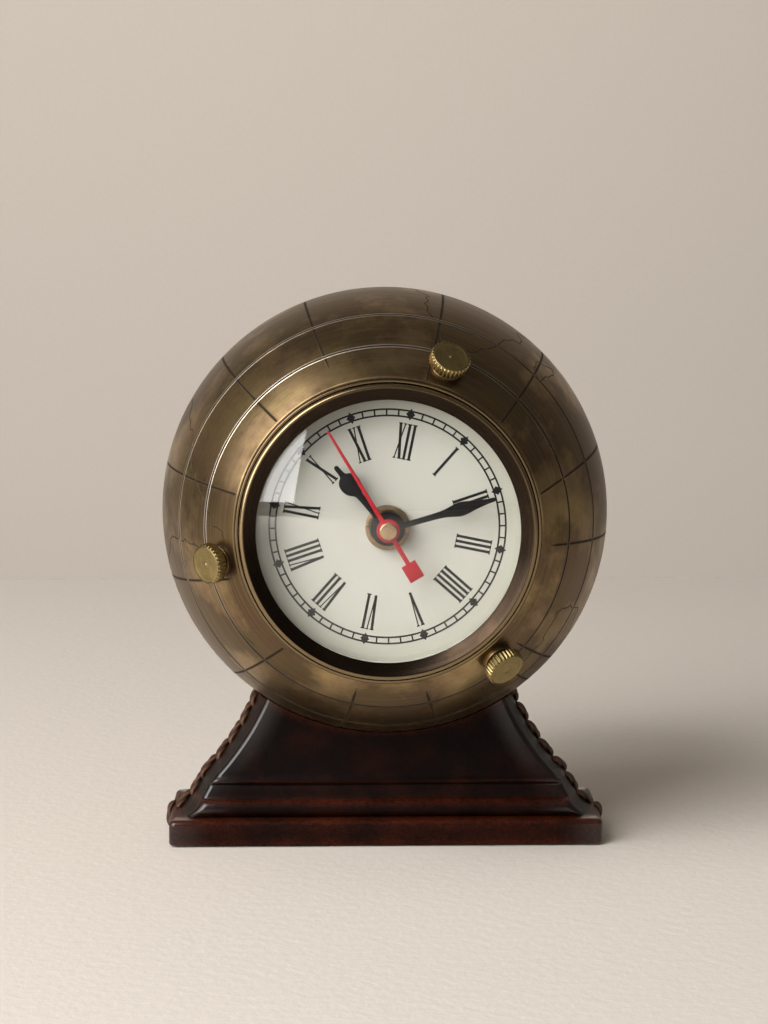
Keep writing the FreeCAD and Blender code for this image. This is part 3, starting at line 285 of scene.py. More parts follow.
def curved(points: Sequence[Point], steps: int = 6) -> list[tuple[float, float]]:
    """A smooth line through the points.

    Args:
        points: places that the line passes.
        steps: how many edges lie between two of them.

    Returns:
        The places along the line.
    """
    line = []
    last = len(points) - 1
    for index in range(last):
        before, first, second, after = (Vector(points[min(max(index + shift, 0), last)][:2])
                                        for shift in (-1, 0, 1, 2))
        for step in range(steps):
            share = step / steps
            spot = (first * 2 + (second - before) * share
                    + (before * 2 - first * 5 + second * 4 - after) * share ** 2
                    + (first * 3 - before - second * 3 + after) * share ** 3) / 2
            line.append(tuple(spot))
    return [*line, tuple(points[-1][:2])]


def lathe(section: Sequence[Point], segments: int, place: Matrix) -> Shape:
    """A closed section turned about the local z axis.

    Args:
        section: places (radius, level) of the section, closed from last to first.
        segments: how many steps make the turn.
        place: matrix to the row frame.

    Returns:
        The turned shape with its wraps.
    """
    vertices, wraps, rings = [], [], []
    length = 0.0
    for index, (radius, level) in enumerate(section):
        if index:
            length += math.dist(section[index - 1], section[index])
        start = len(vertices)
        count = 1 if radius < 1e-6 else segments
        for step in range(count):
            angle = 2 * math.pi * step / segments
            vertices.append(Vector((radius * math.cos(angle), radius * math.sin(angle), level)))
            wraps.append((step / segments, length * MM))
        rings.append((start, count))
    faces = []
    for index, (start, count) in enumerate(rings):
        above, other = rings[(index + 1) % len(rings)]
        if count == 1 and other == 1:
            continue
        for step in range(segments):
            after = (step + 1) % segments
            ring = [start + step % count, start + after % count,
                    above + after % other, above + step % other]
            faces.append(tuple(dict.fromkeys(ring)))
    return Shape([place @ spot for spot in vertices], faces, wraps)


def refined(node: str, name: str, bevel: float) -> Object:
    """A merged copy of a CAD node with softened edges.

    Args:
        node: the CAD node that is copied.
        name: the new object's name.
        bevel: width of the softened edges, in millimetres.

    Returns:
        The new object.
    """
    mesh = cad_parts[node].data.copy()
    mesh.name = name
    mesh.materials.clear()
    with edited(mesh) as work:
        bmesh.ops.remove_doubles(work, verts=work.verts, dist=CAD_WELD * MM)
        bmesh.ops.dissolve_limit(work, angle_limit=math.radians(FLAT_LIMIT), verts=work.verts,
                                 edges=work.edges)
        bmesh.ops.recalc_face_normals(work, faces=work.faces)
    ease_edges(mesh, bevel, EASED_EDGE)
    return linked(name, mesh)


def ease_edges(mesh: Mesh, bevel: float, sharp: float) -> None:
    """Rounds the edges of a mesh and shades it smooth.

    Args:
        mesh: the mesh, changed in place.
        bevel: width of the rounds, in millimetres.
        sharp: edges above this angle are rounded, in degrees.
    """
    with edited(mesh) as work:
        edges = [edge for edge in work.edges
                 if len(edge.link_faces) == 2 and edge.calc_face_angle(0.0) > math.radians(sharp)]
        bmesh.ops.bevel(work, geom=edges, offset=bevel * MM, segments=2, profile=0.5,
                        affect="EDGES", clamp_overlap=True)
    smoothed(mesh, SMOOTH_LIMIT)


# Node trees

class Tree:
    """Adds nodes to one node tree and links them."""

    def __init__(self, tree: NodeTree) -> None:
        """Keeps the tree that is filled."""
        self.tree = tree

    def feed(self, socket: NodeSocket, value: Feed) -> None:
        """Links an output to the input, or sets the input to a plain value."""
        if isinstance(value, NodeSocket):
            self.tree.links.new(value, socket)
        else:
            socket.default_value = value

    def node(self, kind: str, inputs: dict | None = None, **settings: object) -> Node:
        """Adds a node.

        Args:
            kind: the node's type name.
            inputs: values or sockets for its inputs, by name or number.
            settings: the node's own settings.

        Returns:
            The node.
        """
        added = self.tree.nodes.new(kind)
        for setting, value in settings.items():
            setattr(added, setting, value)
        for socket, value in (inputs or {}).items():
            self.feed(added.inputs[socket], value)
        return added

    def fill(self, node: Node, **inputs: Feed) -> None:
        """Feeds a node's inputs, their names given with underscores for spaces."""
        for label, value in inputs.items():
            self.feed(node.inputs[label.replace("_", " ")], value)

    def math(self, operation: str, first: Feed, second: Feed = 0.0) -> NodeSocket:
        """The result of a Math node."""
        return self.node("ShaderNodeMath", {0: first, 1: second}, operation=operation).outputs[0]

    def plus(self, first: Feed, second: Feed) -> NodeSocket:
        """The sum of two values."""
        return self.math("ADD", first, second)

    def times(self, first: Feed, second: Feed) -> NodeSocket:
        """The product of two values."""
        return self.math("MULTIPLY", first, second)

    def parts(self, vector: Feed) -> tuple[NodeSocket, ...]:
        """The three parts of a vector."""
        return tuple(self.node("ShaderNodeSeparateXYZ", {0: vector}).outputs)

    def vector(self, *parts: Feed) -> NodeSocket:
        """A vector from its parts, zero where none is given."""
        return self.node("ShaderNodeCombineXYZ", dict(enumerate(parts))).outputs[0]

    def noise(self, vector: Feed, scale: Feed, detail: float = 4.0,
              rough: float = 0.55) -> NodeSocket:
        """The value of a Noise Texture, its scale in features a metre."""
        made = self.node("ShaderNodeTexNoise", {"Vector": vector, "Scale": scale, "Detail": detail,
                                                "Roughness": rough})
        return made.outputs[0]

    def spread(self, factor: Feed, low: float, high: float, start: Feed = 0.0,
               end: Feed = 1.0) -> NodeSocket:
        """A value taken from low..high to start..end and held there."""
        made = self.node("ShaderNodeMapRange", {0: factor, 1: low, 2: high, 3: start, 4: end})
        return made.outputs[0]

    def blend(self, factor: Feed, first: Feed, second: Feed,
              mode: str = "MIX") -> NodeSocket:
        """A mix of two colours.

        Args:
            factor: share of the second.
            first: a colour of three parts, or a socket.
            second: the other colour.
            mode: how they are mixed.

        Returns:
            The mixed colour.
        """
        made = self.node("ShaderNodeMix", {0: factor}, data_type="RGBA", blend_type=mode)
        for number, value in ((6, first), (7, second)):
            self.feed(made.inputs[number], (*value, 1.0) if isinstance(value, tuple) else value)
        return made.outputs[2]

    def group(self, tree: NodeTree, **inputs: Feed) -> Node:
        """Places a shared group.

        Args:
            tree: the group.
            inputs: what feeds its inputs, by name.

        Returns:
            Its node.
        """
        made = self.node("ShaderNodeGroup", node_tree=tree)
        self.fill(made, **inputs)
        return made

    def stretched(self, vector: Feed, scale: Point, location: Point = (0, 0, 0)) -> Feed:
        """A vector scaled and moved by a Mapping node."""
        return self.node("ShaderNodeMapping", {"Vector": vector, "Scale": scale,
                                               "Location": location}).outputs[0]


FLOAT, VECTOR = "NodeSocketFloat", "NodeSocketVector"


def shared_group(name: str, outputs: Sequence[str],
                 **inputs: str) -> tuple[NodeTree, Tree, bpy_prop_collection, bpy_prop_collection]:
    """Starts a shader node group.

    Args:
        name: the group's name.
        outputs: its outputs, each a plain value.
        inputs: kind of each input, by name.

    Returns:
        The group, its builder, what its inputs give and what its outputs take.
    """
    group = bpy.data.node_groups.new(name, "ShaderNodeTree")
    for label, kind in inputs.items():
        group.interface.new_socket(name=label, in_out="INPUT", socket_type=kind)
    for label in outputs:
        group.interface.new_socket(name=label, in_out="OUTPUT", socket_type=FLOAT)
    tree = Tree(group)
    given = tree.node("NodeGroupInput").outputs
    return group, tree, given, tree.node("NodeGroupOutput").inputs


class Effects:
    """The shader effects that several finishes share, each built once."""

    def __init__(self) -> None:
        """Builds every shared effect."""
        self.turned_marks = self.build_turned_marks()
        self.tarnish = self.build_tarnish()
        self.grain = self.build_grain()
        self.fuzz = self.build_fuzz()
        self.moulding = self.build_moulding()

    def build_turned_marks(self) -> NodeTree:
        """Fine lines left by turning, from a wrap of turn share and length along the section."""
        group, tree, given, out = shared_group("turned_marks", ["Value"], Wrap=VECTOR,
                                               Fineness=FLOAT, Run=FLOAT)
        turn, length, _ = tree.parts(given["Wrap"])
        angle = tree.times(turn, 2 * math.pi)
        across = tree.times(tree.math("COSINE", angle), given["Run"])
        along = tree.times(tree.math("SINE", angle), given["Run"])
        spot = tree.vector(across, along, tree.times(length, given["Fineness"]))
        tree.feed(out["Value"], tree.noise(spot, 1.0, 3.0, 0.6))
        return group

    def build_tarnish(self) -> NodeTree:
        """Cloudy tarnish with darker freckles, as on brass that was aged by hand."""
        group, tree, given, out = shared_group("tarnish", ["Mask", "Freckle"], Vector=VECTOR,
                                               Clouds=FLOAT, Freckles=FLOAT, Amount=FLOAT)
        clouds = tree.noise(given["Vector"], given["Clouds"], 6.0, 0.6)
        low = tree.math("SUBTRACT", 0.9, given["Amount"])
        lifted = tree.math("SUBTRACT", clouds, tree.times(low, 0.5))
        tree.feed(out["Mask"], tree.spread(tree.times(lifted, 3.0), 0.0, 1.0))
        cells = tree.node("ShaderNodeTexVoronoi", {"Vector": given["Vector"],
                                                   "Scale": given["Freckles"]})
        specks = tree.spread(cells.outputs["Distance"], 0.05, 0.3, 1.0, 0.0)
        patches = tree.noise(given["Vector"], tree.times(given["Clouds"], 3.0))
        tree.feed(out["Freckle"], tree.times(specks, tree.spread(patches, 0.52, 0.7)))
        return group

    def build_grain(self) -> NodeTree:
        """Pebbled leather grain: rounded cells parted by creases, with softer folds."""
        group, tree, given, out = shared_group("leather_grain", ["Height", "Crease"],
                                               Vector=VECTOR, Scale=FLOAT)
        bent = tree.node("ShaderNodeTexNoise", {"Vector": given["Vector"], "Scale": 260.0,
                                                "Detail": 2.0}).outputs["Color"]
        shift = tree.node("ShaderNodeVectorMath", {0: bent, 1: (0.0012,) * 3},
                          operation="MULTIPLY").outputs[0]
        place = tree.node("ShaderNodeVectorMath", {0: given["Vector"], 1: shift}).outputs[0]
        cells = tree.node("ShaderNodeTexVoronoi", {"Vector": place, "Scale": given["Scale"]},
                          feature="DISTANCE_TO_EDGE")
        crease = tree.spread(cells.outputs["Distance"], 0.0, 0.22, 1.0, 0.0)
        folds = tree.noise(given["Vector"], 320.0, 3.0, 0.6)
        tree.feed(out["Height"], tree.math("SUBTRACT", tree.times(folds, 0.6),
                                           tree.times(crease, 0.5)))
        tree.feed(out["Crease"], crease)
        return group

    def build_fuzz(self) -> NodeTree:
        """Matted fibres of felt."""
        group, tree, given, out = shared_group("felt_fuzz", ["Height", "Tone"], Vector=VECTOR,
                                               Scale=FLOAT)
        long_way = tree.stretched(given["Vector"], (0.25, 1.0, 1.0))
        cross_way = tree.stretched(given["Vector"], (1.0, 0.25, 1.0))
        first = tree.noise(long_way, given["Scale"], 5.0, 0.7)
        second = tree.noise(cross_way, given["Scale"], 5.0, 0.7)
        tree.feed(out["Height"], tree.math("MAXIMUM", first, second))
        tree.feed(out["Tone"], tree.noise(given["Vector"], 120.0, 4.0, 0.6))
        return group

    def build_moulding(self) -> NodeTree:
        """Faint spark texture and flow clouds of a moulded plastic or painted part."""
        group, tree, given, out = shared_group("moulding_texture", ["Height", "Cloud"],
                                               Vector=VECTOR, Scale=FLOAT)
        tree.feed(out["Height"], tree.noise(given["Vector"], given["Scale"], 2.0, 0.5))
        tree.feed(out["Cloud"], tree.noise(given["Vector"], 90.0, 4.0, 0.5))
        return group


effects = Effects()


class Coat(Tree):
    """The node tree of one material, round its Principled BSDF.

    Attributes:
        material: the material.
        shader: its Principled BSDF.
        place: Object coordinates.
    """

    def __init__(self, name: str) -> None:
        """Starts the material.

        Args:
            name: its name.
        """
        self.material = bpy.data.materials.new(name)
        self.material.use_nodes = True
        super().__init__(self.material.node_tree)
        self.shader = next(node for node in self.tree.nodes if node.type == "BSDF_PRINCIPLED")
        self.place = self.node("ShaderNodeTexCoord").outputs["Object"]

    def value(self, name: str) -> NodeSocket:
        """A value that the piece's vertices hold."""
        return self.node("ShaderNodeAttribute", attribute_name=name).outputs["Fac"]

    def bump(self, height: Feed, strength: float, depth: float) -> NodeSocket:
        """The normal over a height, with the bump's strength and its depth in metres."""
        return self.node("ShaderNodeBump", {"Height": height, "Strength": strength,
                                            "Distance": depth}).outputs[0]

    def finished(self, **inputs: Feed) -> Material:
        """Feeds the shader's inputs and gives the material."""
        self.fill(self.shader, **inputs)
        return self.material


def scaled(colour: Point, share: float) -> Point:
    """A colour with each part scaled."""
    return tuple(share * part for part in colour)


class Wrap(Enum):
    """Where a turned finish reads the direction of its marks."""

    MADE = "wrap"
    DIAL_AXIS = "dial axis"


@dataclass(frozen=True)
class AgedMetal:
    """Brass or steel that is turned or cast, then darkened unevenly and rubbed."""

    name: str
    bright: Point
    dark: Point
    rough: tuple[float, float] = (0.26, 0.42)
    tarnish: float = 0.5
    clouds: float = 30.0
    freckles: float = 900.0
    fineness: float = 3000.0
    run: float = 1.2
    brushed: float = 0.3
    relief: float = 0.00003
    wrap: Wrap = Wrap.MADE
    # Burr colour: rubbed wear on the bezel, a painted highlight on the globe's engraving.
    rubbed: Point = (0.82, 0.76, 0.68)
    blush: float = 0.0
    blush_tint: Point = (1.0, 0.88, 1.15)
    # Groove colour: dark dirt in the cut, and painted shade on the engraving's slopes.
    groove_dirt_and_shade: Point = (0.020, 0.013, 0.007)

    def directions(self, coat: Coat) -> Feed:
        """The wrap that the turned marks follow.

        Args:
            coat: the material's tree.

        Returns:
            A vector of the share of a turn and the length along the section.
        """
        if self.wrap is Wrap.MADE:
            return coat.node("ShaderNodeUVMap", uv_map=self.wrap.value).outputs[0]
        across, depth, up = coat.parts(coat.stretched(coat.place, (1, 1, 1), TO_DIAL))
        turn = coat.math("DIVIDE", coat.math("ARCTAN2", up, across), 2 * math.pi)
        squares = coat.plus(coat.times(across, across), coat.times(up, up))
        return coat.vector(turn, coat.plus(coat.math("SQRT", squares), depth))

    def made(self) -> Material:
        """The material; vertex value groove darkens it with dirt and painted shade, burr brightens it
        with rubbed wear and painted highlight.
        """
        coat = Coat(self.name)
        aged = coat.group(effects.tarnish, Vector=coat.place, Clouds=self.clouds,
                          Freckles=self.freckles, Amount=self.tarnish)
        marks = coat.group(effects.turned_marks, Wrap=self.directions(coat),
                           Fineness=self.fineness, Run=self.run).outputs[0]
        mask = coat.plus(coat.times(aged.outputs["Mask"], 1.0 - self.brushed),
                         coat.times(coat.spread(marks, 0.3, 0.7), self.brushed))
        groove, burr = coat.value("groove"), coat.value("burr")
        hue = coat.spread(coat.noise(coat.place, 75.0, 4.0, 0.6), 0.42, 0.6, 0.0, self.blush)
        colour = coat.blend(mask, self.bright, self.dark)
        colour = coat.blend(hue, colour, self.blush_tint, "MULTIPLY")
        colour = coat.blend(coat.times(aged.outputs["Freckle"], 0.7), colour,
                            scaled(self.dark, 0.35))
        # Burrs take rubbed wear and painted highlight, grooves dirt and painted shade.
        colour = coat.blend(burr, colour, self.rubbed)
        colour = coat.blend(groove, colour, self.groove_dirt_and_shade)
        rough = coat.plus(coat.spread(mask, 0.0, 1.0, *self.rough), coat.times(groove, 0.3))
        rough = coat.math("SUBTRACT", rough, coat.times(burr, 0.1))
        dents = coat.noise(coat.place, 420.0, 3.0, 0.5)
        height = coat.plus(coat.times(marks, 0.5), coat.times(dents, 0.6))
        return coat.finished(Base_Color=colour, Roughness=rough,
                             Metallic=coat.spread(groove, 0.0, 1.0, 1.0, 0.7),
                             Normal=coat.bump(height, 0.6, self.relief))


@dataclass(frozen=True)
class Leather:
    """Dark leather whose raised edges are rubbed to a rust red and polished by hands."""

    name: str
    ground: Point
    worn: Point
    grain: float = 2200.0
    gloss: float = 0.06

    def made(self) -> Material:
        """The material; vertex values wear and polish say where it is rubbed, where the rust also
        stands in as painted sheen, and where it shines.
        """
        coat = Coat(self.name)
        grain = coat.group(effects.grain, Vector=coat.place, Scale=self.grain).outputs
        blotches = coat.noise(coat.place, 95.0, 5.0, 0.6)
        fine = coat.noise(coat.place, 900.0, 4.0, 0.6)
        # Rust where the skin is rubbed; on the plinth's face it also lightens the skin as a painted
        # sheen.
        rubbed = coat.times(coat.value("wear_and_sheen"), coat.spread(blotches, 0.3, 0.6, 0.35, 1.0))
        rubbed = coat.times(rubbed, coat.spread(fine, 0.3, 0.6, 0.4, 1.0))
        wash = coat.spread(blotches, 0.45, 0.75, 0.0, 0.3)
        colour = coat.blend(wash, self.ground, scaled(self.worn, 0.5))
        colour = coat.blend(rubbed, colour, self.worn)
        colour = coat.blend(coat.times(grain["Crease"], 0.75), colour, scaled(self.ground, 0.35))
        rough = coat.plus(coat.spread(fine, 0.3, 0.7, 0.25, 0.36),
                          coat.times(grain["Crease"], 0.12))
        return coat.finished(Base_Color=colour, Roughness=rough, Specular_IOR_Level=self.gloss,
                             Coat_Roughness=0.2, Coat_Weight=coat.value("polish"),
                             Normal=coat.bump(grain["Height"], 0.45, 0.00012))


@dataclass(frozen=True)
class Cord:
    """Waxed leather lace, twisted, with painted shade darkening the furrows between its strands."""

    name: str
    high: Point
    # Colour down in the furrows between strands, a painted shade.
    low: Point

    def made(self) -> Material:
        """The material; the vertex value strand is high on the back of a strand and low in the
        furrows, which get painted shade.
        """
        coat = Coat(self.name)
        fibres = coat.noise(coat.place, 1800.0, 5.0, 0.65)
        # Painted shade: darker from the strands' backs down into the furrows between them.
        tone = coat.times(coat.spread(fibres, 0.25, 0.7, 0.35, 1.0),
                          coat.spread(coat.value("strand"), 0.15, 0.9, 0.1, 1.0))
        return coat.finished(Base_Color=coat.blend(tone, self.low, self.high),
                             Roughness=coat.spread(fibres, 0.3, 0.7, 0.42, 0.68),
                             Normal=coat.bump(fibres, 0.7, 0.0002))


@dataclass(frozen=True)
class Felt:
    """Pressed felt of one colour."""

    name: str
    colour: Point
    fineness: float = 2500.0

    def made(self) -> Material:
        """The material."""
        coat = Coat(self.name)
        fuzz = coat.group(effects.fuzz, Vector=coat.place, Scale=self.fineness).outputs
        ground = coat.blend(coat.spread(fuzz["Tone"], 0.3, 0.7), scaled(self.colour, 0.75),
                            self.colour)
        hollows = coat.spread(fuzz["Height"], 0.4, 0.7, 0.7, 0.0)
        return coat.finished(Base_Color=coat.blend(hollows, ground, scaled(self.colour, 0.45)),
                             Roughness=coat.spread(fuzz["Height"], 0.3, 0.8, 1.0, 0.85),
                             Sheen_Weight=0.4, Normal=coat.bump(fuzz["Height"], 0.8, 0.0003))


@dataclass(frozen=True)
class Wood:
    """Plain softwood of the hidden block."""

    name: str
    early: Point
    late: Point

    def made(self) -> Material:
        """The material."""
        coat = Coat(self.name)
        rings = coat.node("ShaderNodeTexWave", {"Vector": coat.stretched(coat.place, (0.12, 1, 1)),
                                                "Scale": 70.0, "Distortion": 5.0, "Detail": 3.0},
                          bands_direction="Z")
        pores = coat.noise(coat.stretched(coat.place, (0.06, 1, 1)), 2600.0, 3.0, 0.6)
        tone = coat.times(rings.outputs["Fac"], coat.spread(pores, 0.3, 0.7, 0.6, 1.0))
        return coat.finished(Base_Color=coat.blend(tone, self.early, self.late),
                             Roughness=coat.spread(pores, 0.3, 0.7, 0.5, 0.75),
                             Normal=coat.bump(pores, 0.4, 0.0002))


@dataclass(frozen=True)
class Moulded:
    """Moulded plastic, rubber, lacquer or paint of one colour."""

    name: str
    colour: Point
    rough: tuple[float, float] = (0.35, 0.5)
    texture: float = 3500.0
    relief: float = 0.00002
    gloss: float = 0.5

    def made(self) -> Material:
        """The material."""
        coat = Coat(self.name)
        skin = coat.group(effects.moulding, Vector=coat.place, Scale=self.texture).outputs
        tone = coat.spread(skin["Cloud"], 0.3, 0.7)
        return coat.finished(Base_Color=coat.blend(tone, scaled(self.colour, 0.82), self.colour),
                             Roughness=coat.spread(skin["Cloud"], 0.3, 0.7, *self.rough),
                             Specular_IOR_Level=self.gloss,
                             Normal=coat.bump(skin["Height"], 0.5, self.relief))


@dataclass(frozen=True)
class DialPaper:
    """Cream dial sheet with a faint fibre and a darker, yellowed edge."""

    name: str
    cream: Point
    edge: Point
    yellowed: tuple[float, float] = (24.0, 34.0)

    def made(self) -> Material:
        """The material."""
        coat = Coat(self.name)
        centred = coat.stretched(coat.place, (1, 0, 1), TO_DIAL)
        radius = coat.node("ShaderNodeVectorMath", {0: centred}, operation="LENGTH")
        start, end = scaled(self.yellowed, MM)
        fibre = coat.noise(coat.place, 3000.0, 4.0, 0.6)
        cloud = coat.noise(coat.place, 60.0, 4.0, 0.55)
        border = coat.times(coat.spread(radius.outputs["Value"], start, end, 0.0, 0.8),
                            coat.spread(cloud, 0.3, 0.6, 0.6, 1.0))
        speck = coat.spread(fibre, 0.62, 0.75, 0.0, 0.35)
        colour = coat.blend(speck, coat.blend(border, self.cream, self.edge), self.edge)
        return coat.finished(Base_Color=colour, Normal=coat.bump(fibre, 0.25, 0.00003),
                             Roughness=coat.spread(fibre, 0.3, 0.7, 0.45, 0.6))


@dataclass(frozen=True)
class ClearGlass:
    """Clear glass that lets the lamps' light through to the dial."""

    name: str

    def made(self) -> Material:
        """The material, see-through to shadow rays, with a trace of dust."""
        coat = Coat(self.name)
        dust = coat.noise(coat.place, 1500.0, 5.0, 0.7)
        shadow = coat.node("ShaderNodeLightPath").outputs["Is Shadow Ray"]
        return coat.finished(Base_Color=(1.0, 1.0, 1.0, 1.0), Metallic=0.0,
                             Transmission_Weight=1.0, IOR=1.47,
                             Roughness=coat.spread(dust, 0.62, 0.8, 0.0, 0.05),
                             Alpha=coat.spread(shadow, 0.0, 1.0, 1.0, 0.06))


@dataclass(frozen=True)
class Winding:
    """Fine enamelled wire wound in layers across the coil."""

    name: str
    wire: Point

    def made(self) -> Material:
        """The material."""
        coat = Coat(self.name)
        rolled = coat.node("ShaderNodeMapping", {"Vector": coat.place,
                                                 "Rotation": (0, -math.radians(DIAL_ROLL), 0)})
        wave = coat.node("ShaderNodeTexWave", {"Vector": rolled.outputs[0], "Scale": 900.0,
                                               "Distortion": 0.6}, bands_direction="X")
        turns = wave.outputs["Fac"]
        lie = coat.noise(coat.place, 500.0, 3.0, 0.5)
        tone = coat.times(turns, coat.spread(lie, 0.3, 0.7, 0.75, 1.0))
        return coat.finished(Base_Color=coat.blend(tone, scaled(self.wire, 0.25), self.wire),
                             Metallic=1.0, Roughness=coat.spread(lie, 0.3, 0.7, 0.25, 0.4),
                             Normal=coat.bump(turns, 1.0, 0.0001))


@dataclass(frozen=True)
class Board:
    """Circuit board with a green lacquer over copper tracks."""

    name: str
    lacquer: Point
    track: Point

    def made(self) -> Material:
        """The material."""
        coat = Coat(self.name)
        flat = coat.stretched(coat.place, (1, 0, 1))
        cells = coat.node("ShaderNodeTexVoronoi", {"Vector": flat, "Scale": 260.0},
                          feature="DISTANCE_TO_EDGE", distance="MANHATTAN")
        tracks = coat.spread(cells.outputs["Distance"], 0.05, 0.09, 1.0, 0.0)
        weave = coat.noise(coat.place, 2400.0, 3.0, 0.6)
        ground = coat.blend(coat.spread(weave, 0.3, 0.7, 0.0, 0.4), self.lacquer,
                            scaled(self.lacquer, 0.5))
        return coat.finished(Base_Color=coat.blend(tracks, ground, self.track),
                             Roughness=coat.spread(tracks, 0.0, 1.0, 0.35, 0.25),
                             Normal=coat.bump(tracks, 0.5, 0.00005))


@dataclass(frozen=True)
class Jacket:
    """Printed film round the cell, with a coloured band at its positive end."""

    name: str
    film: Point
    band: Point
    scuffed: Point = (0.3, 0.3, 0.3)

    def made(self) -> Material:
        """The material."""
        coat = Coat(self.name)
        end = coat.spread(coat.parts(coat.place)[0], 0.009, 0.0094)
        scuffs = coat.noise(coat.stretched(coat.place, (6, 1, 1)), 220.0, 4.0, 0.6)
        colour = coat.blend(coat.spread(scuffs, 0.6, 0.8, 0.0, 0.35),
                            coat.blend(end, self.film, self.band), self.scuffed)
        return coat.finished(Base_Color=colour, Normal=coat.bump(scuffs, 0.3, 0.00005),
                             Roughness=coat.spread(scuffs, 0.3, 0.7, 0.22, 0.4))


@dataclass(frozen=True)
class Backdrop:
    """Matt, slightly mottled paper of the table and the wall."""

    name: str
    colour: Point

    def made(self) -> Material:
        """The material."""
        coat = Coat(self.name)
        paper = coat.noise(coat.place, 320.0, 4.0, 0.6)
        tone = coat.spread(paper, 0.3, 0.7)
        return coat.finished(Base_Color=coat.blend(tone, scaled(self.colour, 0.97), self.colour),
                             Roughness=0.9, Specular_IOR_Level=0.15,
                             Normal=coat.bump(paper, 0.25, 0.0006))


GOLD = (0.66, 0.475, 0.22)
UMBER = (0.118, 0.080, 0.040)

FINISHES = (
    AgedMetal("aged_brass", GOLD, UMBER, rough=(0.21, 0.40), clouds=42.0, fineness=1500.0,
              brushed=0.13, relief=0.00006, blush=0.5),
    AgedMetal("screw_brass", (0.60, 0.46, 0.21), (0.20, 0.15, 0.060), rough=(0.2, 0.38),
              tarnish=0.55, clouds=120.0, freckles=1600.0, fineness=5000.0, brushed=0.35),
    AgedMetal("bezel_brass", (0.085, 0.055, 0.034), (0.020, 0.014, 0.010), rough=(0.15, 0.29),
              tarnish=0.6, clouds=60.0, freckles=2200.0, fineness=6000.0,
              rubbed=(0.42, 0.31, 0.17)),
    AgedMetal("drum_steel", (0.56, 0.55, 0.53), (0.36, 0.35, 0.34), rough=(0.25, 0.4), tarnish=0.35,
              clouds=50.0, fineness=4000.0, brushed=0.6, wrap=Wrap.DIAL_AXIS),
    AgedMetal("dial_plate_steel", (0.55, 0.55, 0.54), (0.38, 0.38, 0.38), tarnish=0.3,
              fineness=5000.0, brushed=0.6, wrap=Wrap.DIAL_AXIS),
    AgedMetal("nut_brass", (0.60, 0.44, 0.24), (0.17, 0.115, 0.07), rough=(0.2, 0.4), tarnish=0.6,
              clouds=260.0, freckles=2600.0, fineness=7000.0, brushed=0.4, wrap=Wrap.DIAL_AXIS),
    AgedMetal("cap_brass", (0.72, 0.53, 0.32), (0.34, 0.23, 0.13), rough=(0.18, 0.34), tarnish=0.4,
              clouds=300.0, fineness=9000.0, brushed=0.5),
    AgedMetal("gear_brass", (0.78, 0.58, 0.28), (0.5, 0.35, 0.15), rough=(0.2, 0.35), tarnish=0.3,
              clouds=90.0, fineness=8000.0, brushed=0.5, wrap=Wrap.DIAL_AXIS),
    AgedMetal("pivot_steel", (0.62, 0.62, 0.62), (0.42, 0.42, 0.43), rough=(0.15, 0.3), tarnish=0.2,
              clouds=200.0, fineness=9000.0, brushed=0.6, wrap=Wrap.DIAL_AXIS),
    AgedMetal("can_steel", (0.66, 0.66, 0.65), (0.44, 0.44, 0.45), rough=(0.2, 0.34), tarnish=0.3,
              clouds=150.0, fineness=6000.0, brushed=0.5, wrap=Wrap.DIAL_AXIS),
    AgedMetal("contact_steel", (0.68, 0.67, 0.64), (0.45, 0.44, 0.41), rough=(0.2, 0.36),
              tarnish=0.35, clouds=120.0, fineness=5000.0, brushed=0.5, wrap=Wrap.DIAL_AXIS),
    AgedMetal("stator_iron", (0.40, 0.40, 0.41), (0.24, 0.24, 0.25), rough=(0.3, 0.5), tarnish=0.45,
              clouds=140.0, fineness=7000.0, brushed=0.5, wrap=Wrap.DIAL_AXIS),
    Leather("leather", (0.0056, 0.0024, 0.0019), (0.115, 0.022, 0.008)),
    Cord("lace", (0.15, 0.052, 0.018), (0.014, 0.007, 0.004)),
    Felt("felt", (0.022, 0.030, 0.022)),
    Felt("lining", (0.050, 0.022, 0.014)),
    Wood("wood", (0.50, 0.33, 0.18), (0.26, 0.14, 0.06)),
    ClearGlass("glass"),
    DialPaper("dial_face", (0.446, 0.441, 0.383), (0.365, 0.355, 0.289)),
    Moulded("spacer_plastic", (0.62, 0.61, 0.54)),
    Moulded("washer_rubber", (0.022, 0.022, 0.023), (0.6, 0.75), 1800.0),
    Moulded("case_plastic", (0.018, 0.018, 0.019), (0.38, 0.52), 2600.0, 0.00004),
    Moulded("plate_plastic", (0.70, 0.69, 0.64)),
    Moulded("bobbin_plastic", (0.56, 0.50, 0.33)),
    Moulded("gear_plastic", (0.74, 0.72, 0.66), (0.3, 0.42)),
    Moulded("knob_plastic", (0.60, 0.06, 0.04), (0.3, 0.42)),
    Moulded("black_paint", (0.005, 0.005, 0.005), (0.32, 0.45), 4200.0, gloss=0.15),
    Moulded("red_paint", (0.31, 0.003, 0.010), (0.3, 0.42), 4200.0, gloss=0.2),
    Winding("copper", (0.78, 0.33, 0.16)),
    Board("board", (0.018, 0.11, 0.045), (0.05, 0.22, 0.08)),
    Jacket("cell_jacket", (0.02, 0.02, 0.022), (0.55, 0.33, 0.10)),
)

MATERIALS = {finish.name: finish.made() for finish in FINISHES}


def dress(thing: Object, finish: str, body: str, *nodes: str) -> None:
    """Finishes a piece and ties it to the frame.

    Args:
        thing: the piece.
        finish: name of its finish, which is also the record's material slot.
        body: the CAD body that it rides on.
        nodes: CAD nodes that it replaces.
    """
    thing.data.materials.clear()
    thing.data.materials.append(MATERIALS[finish])
    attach(thing, body)
    if nodes:
        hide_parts(*nodes)
    log.info("%s: %d faces, %s", thing.name, len(thing.data.polygons), finish)


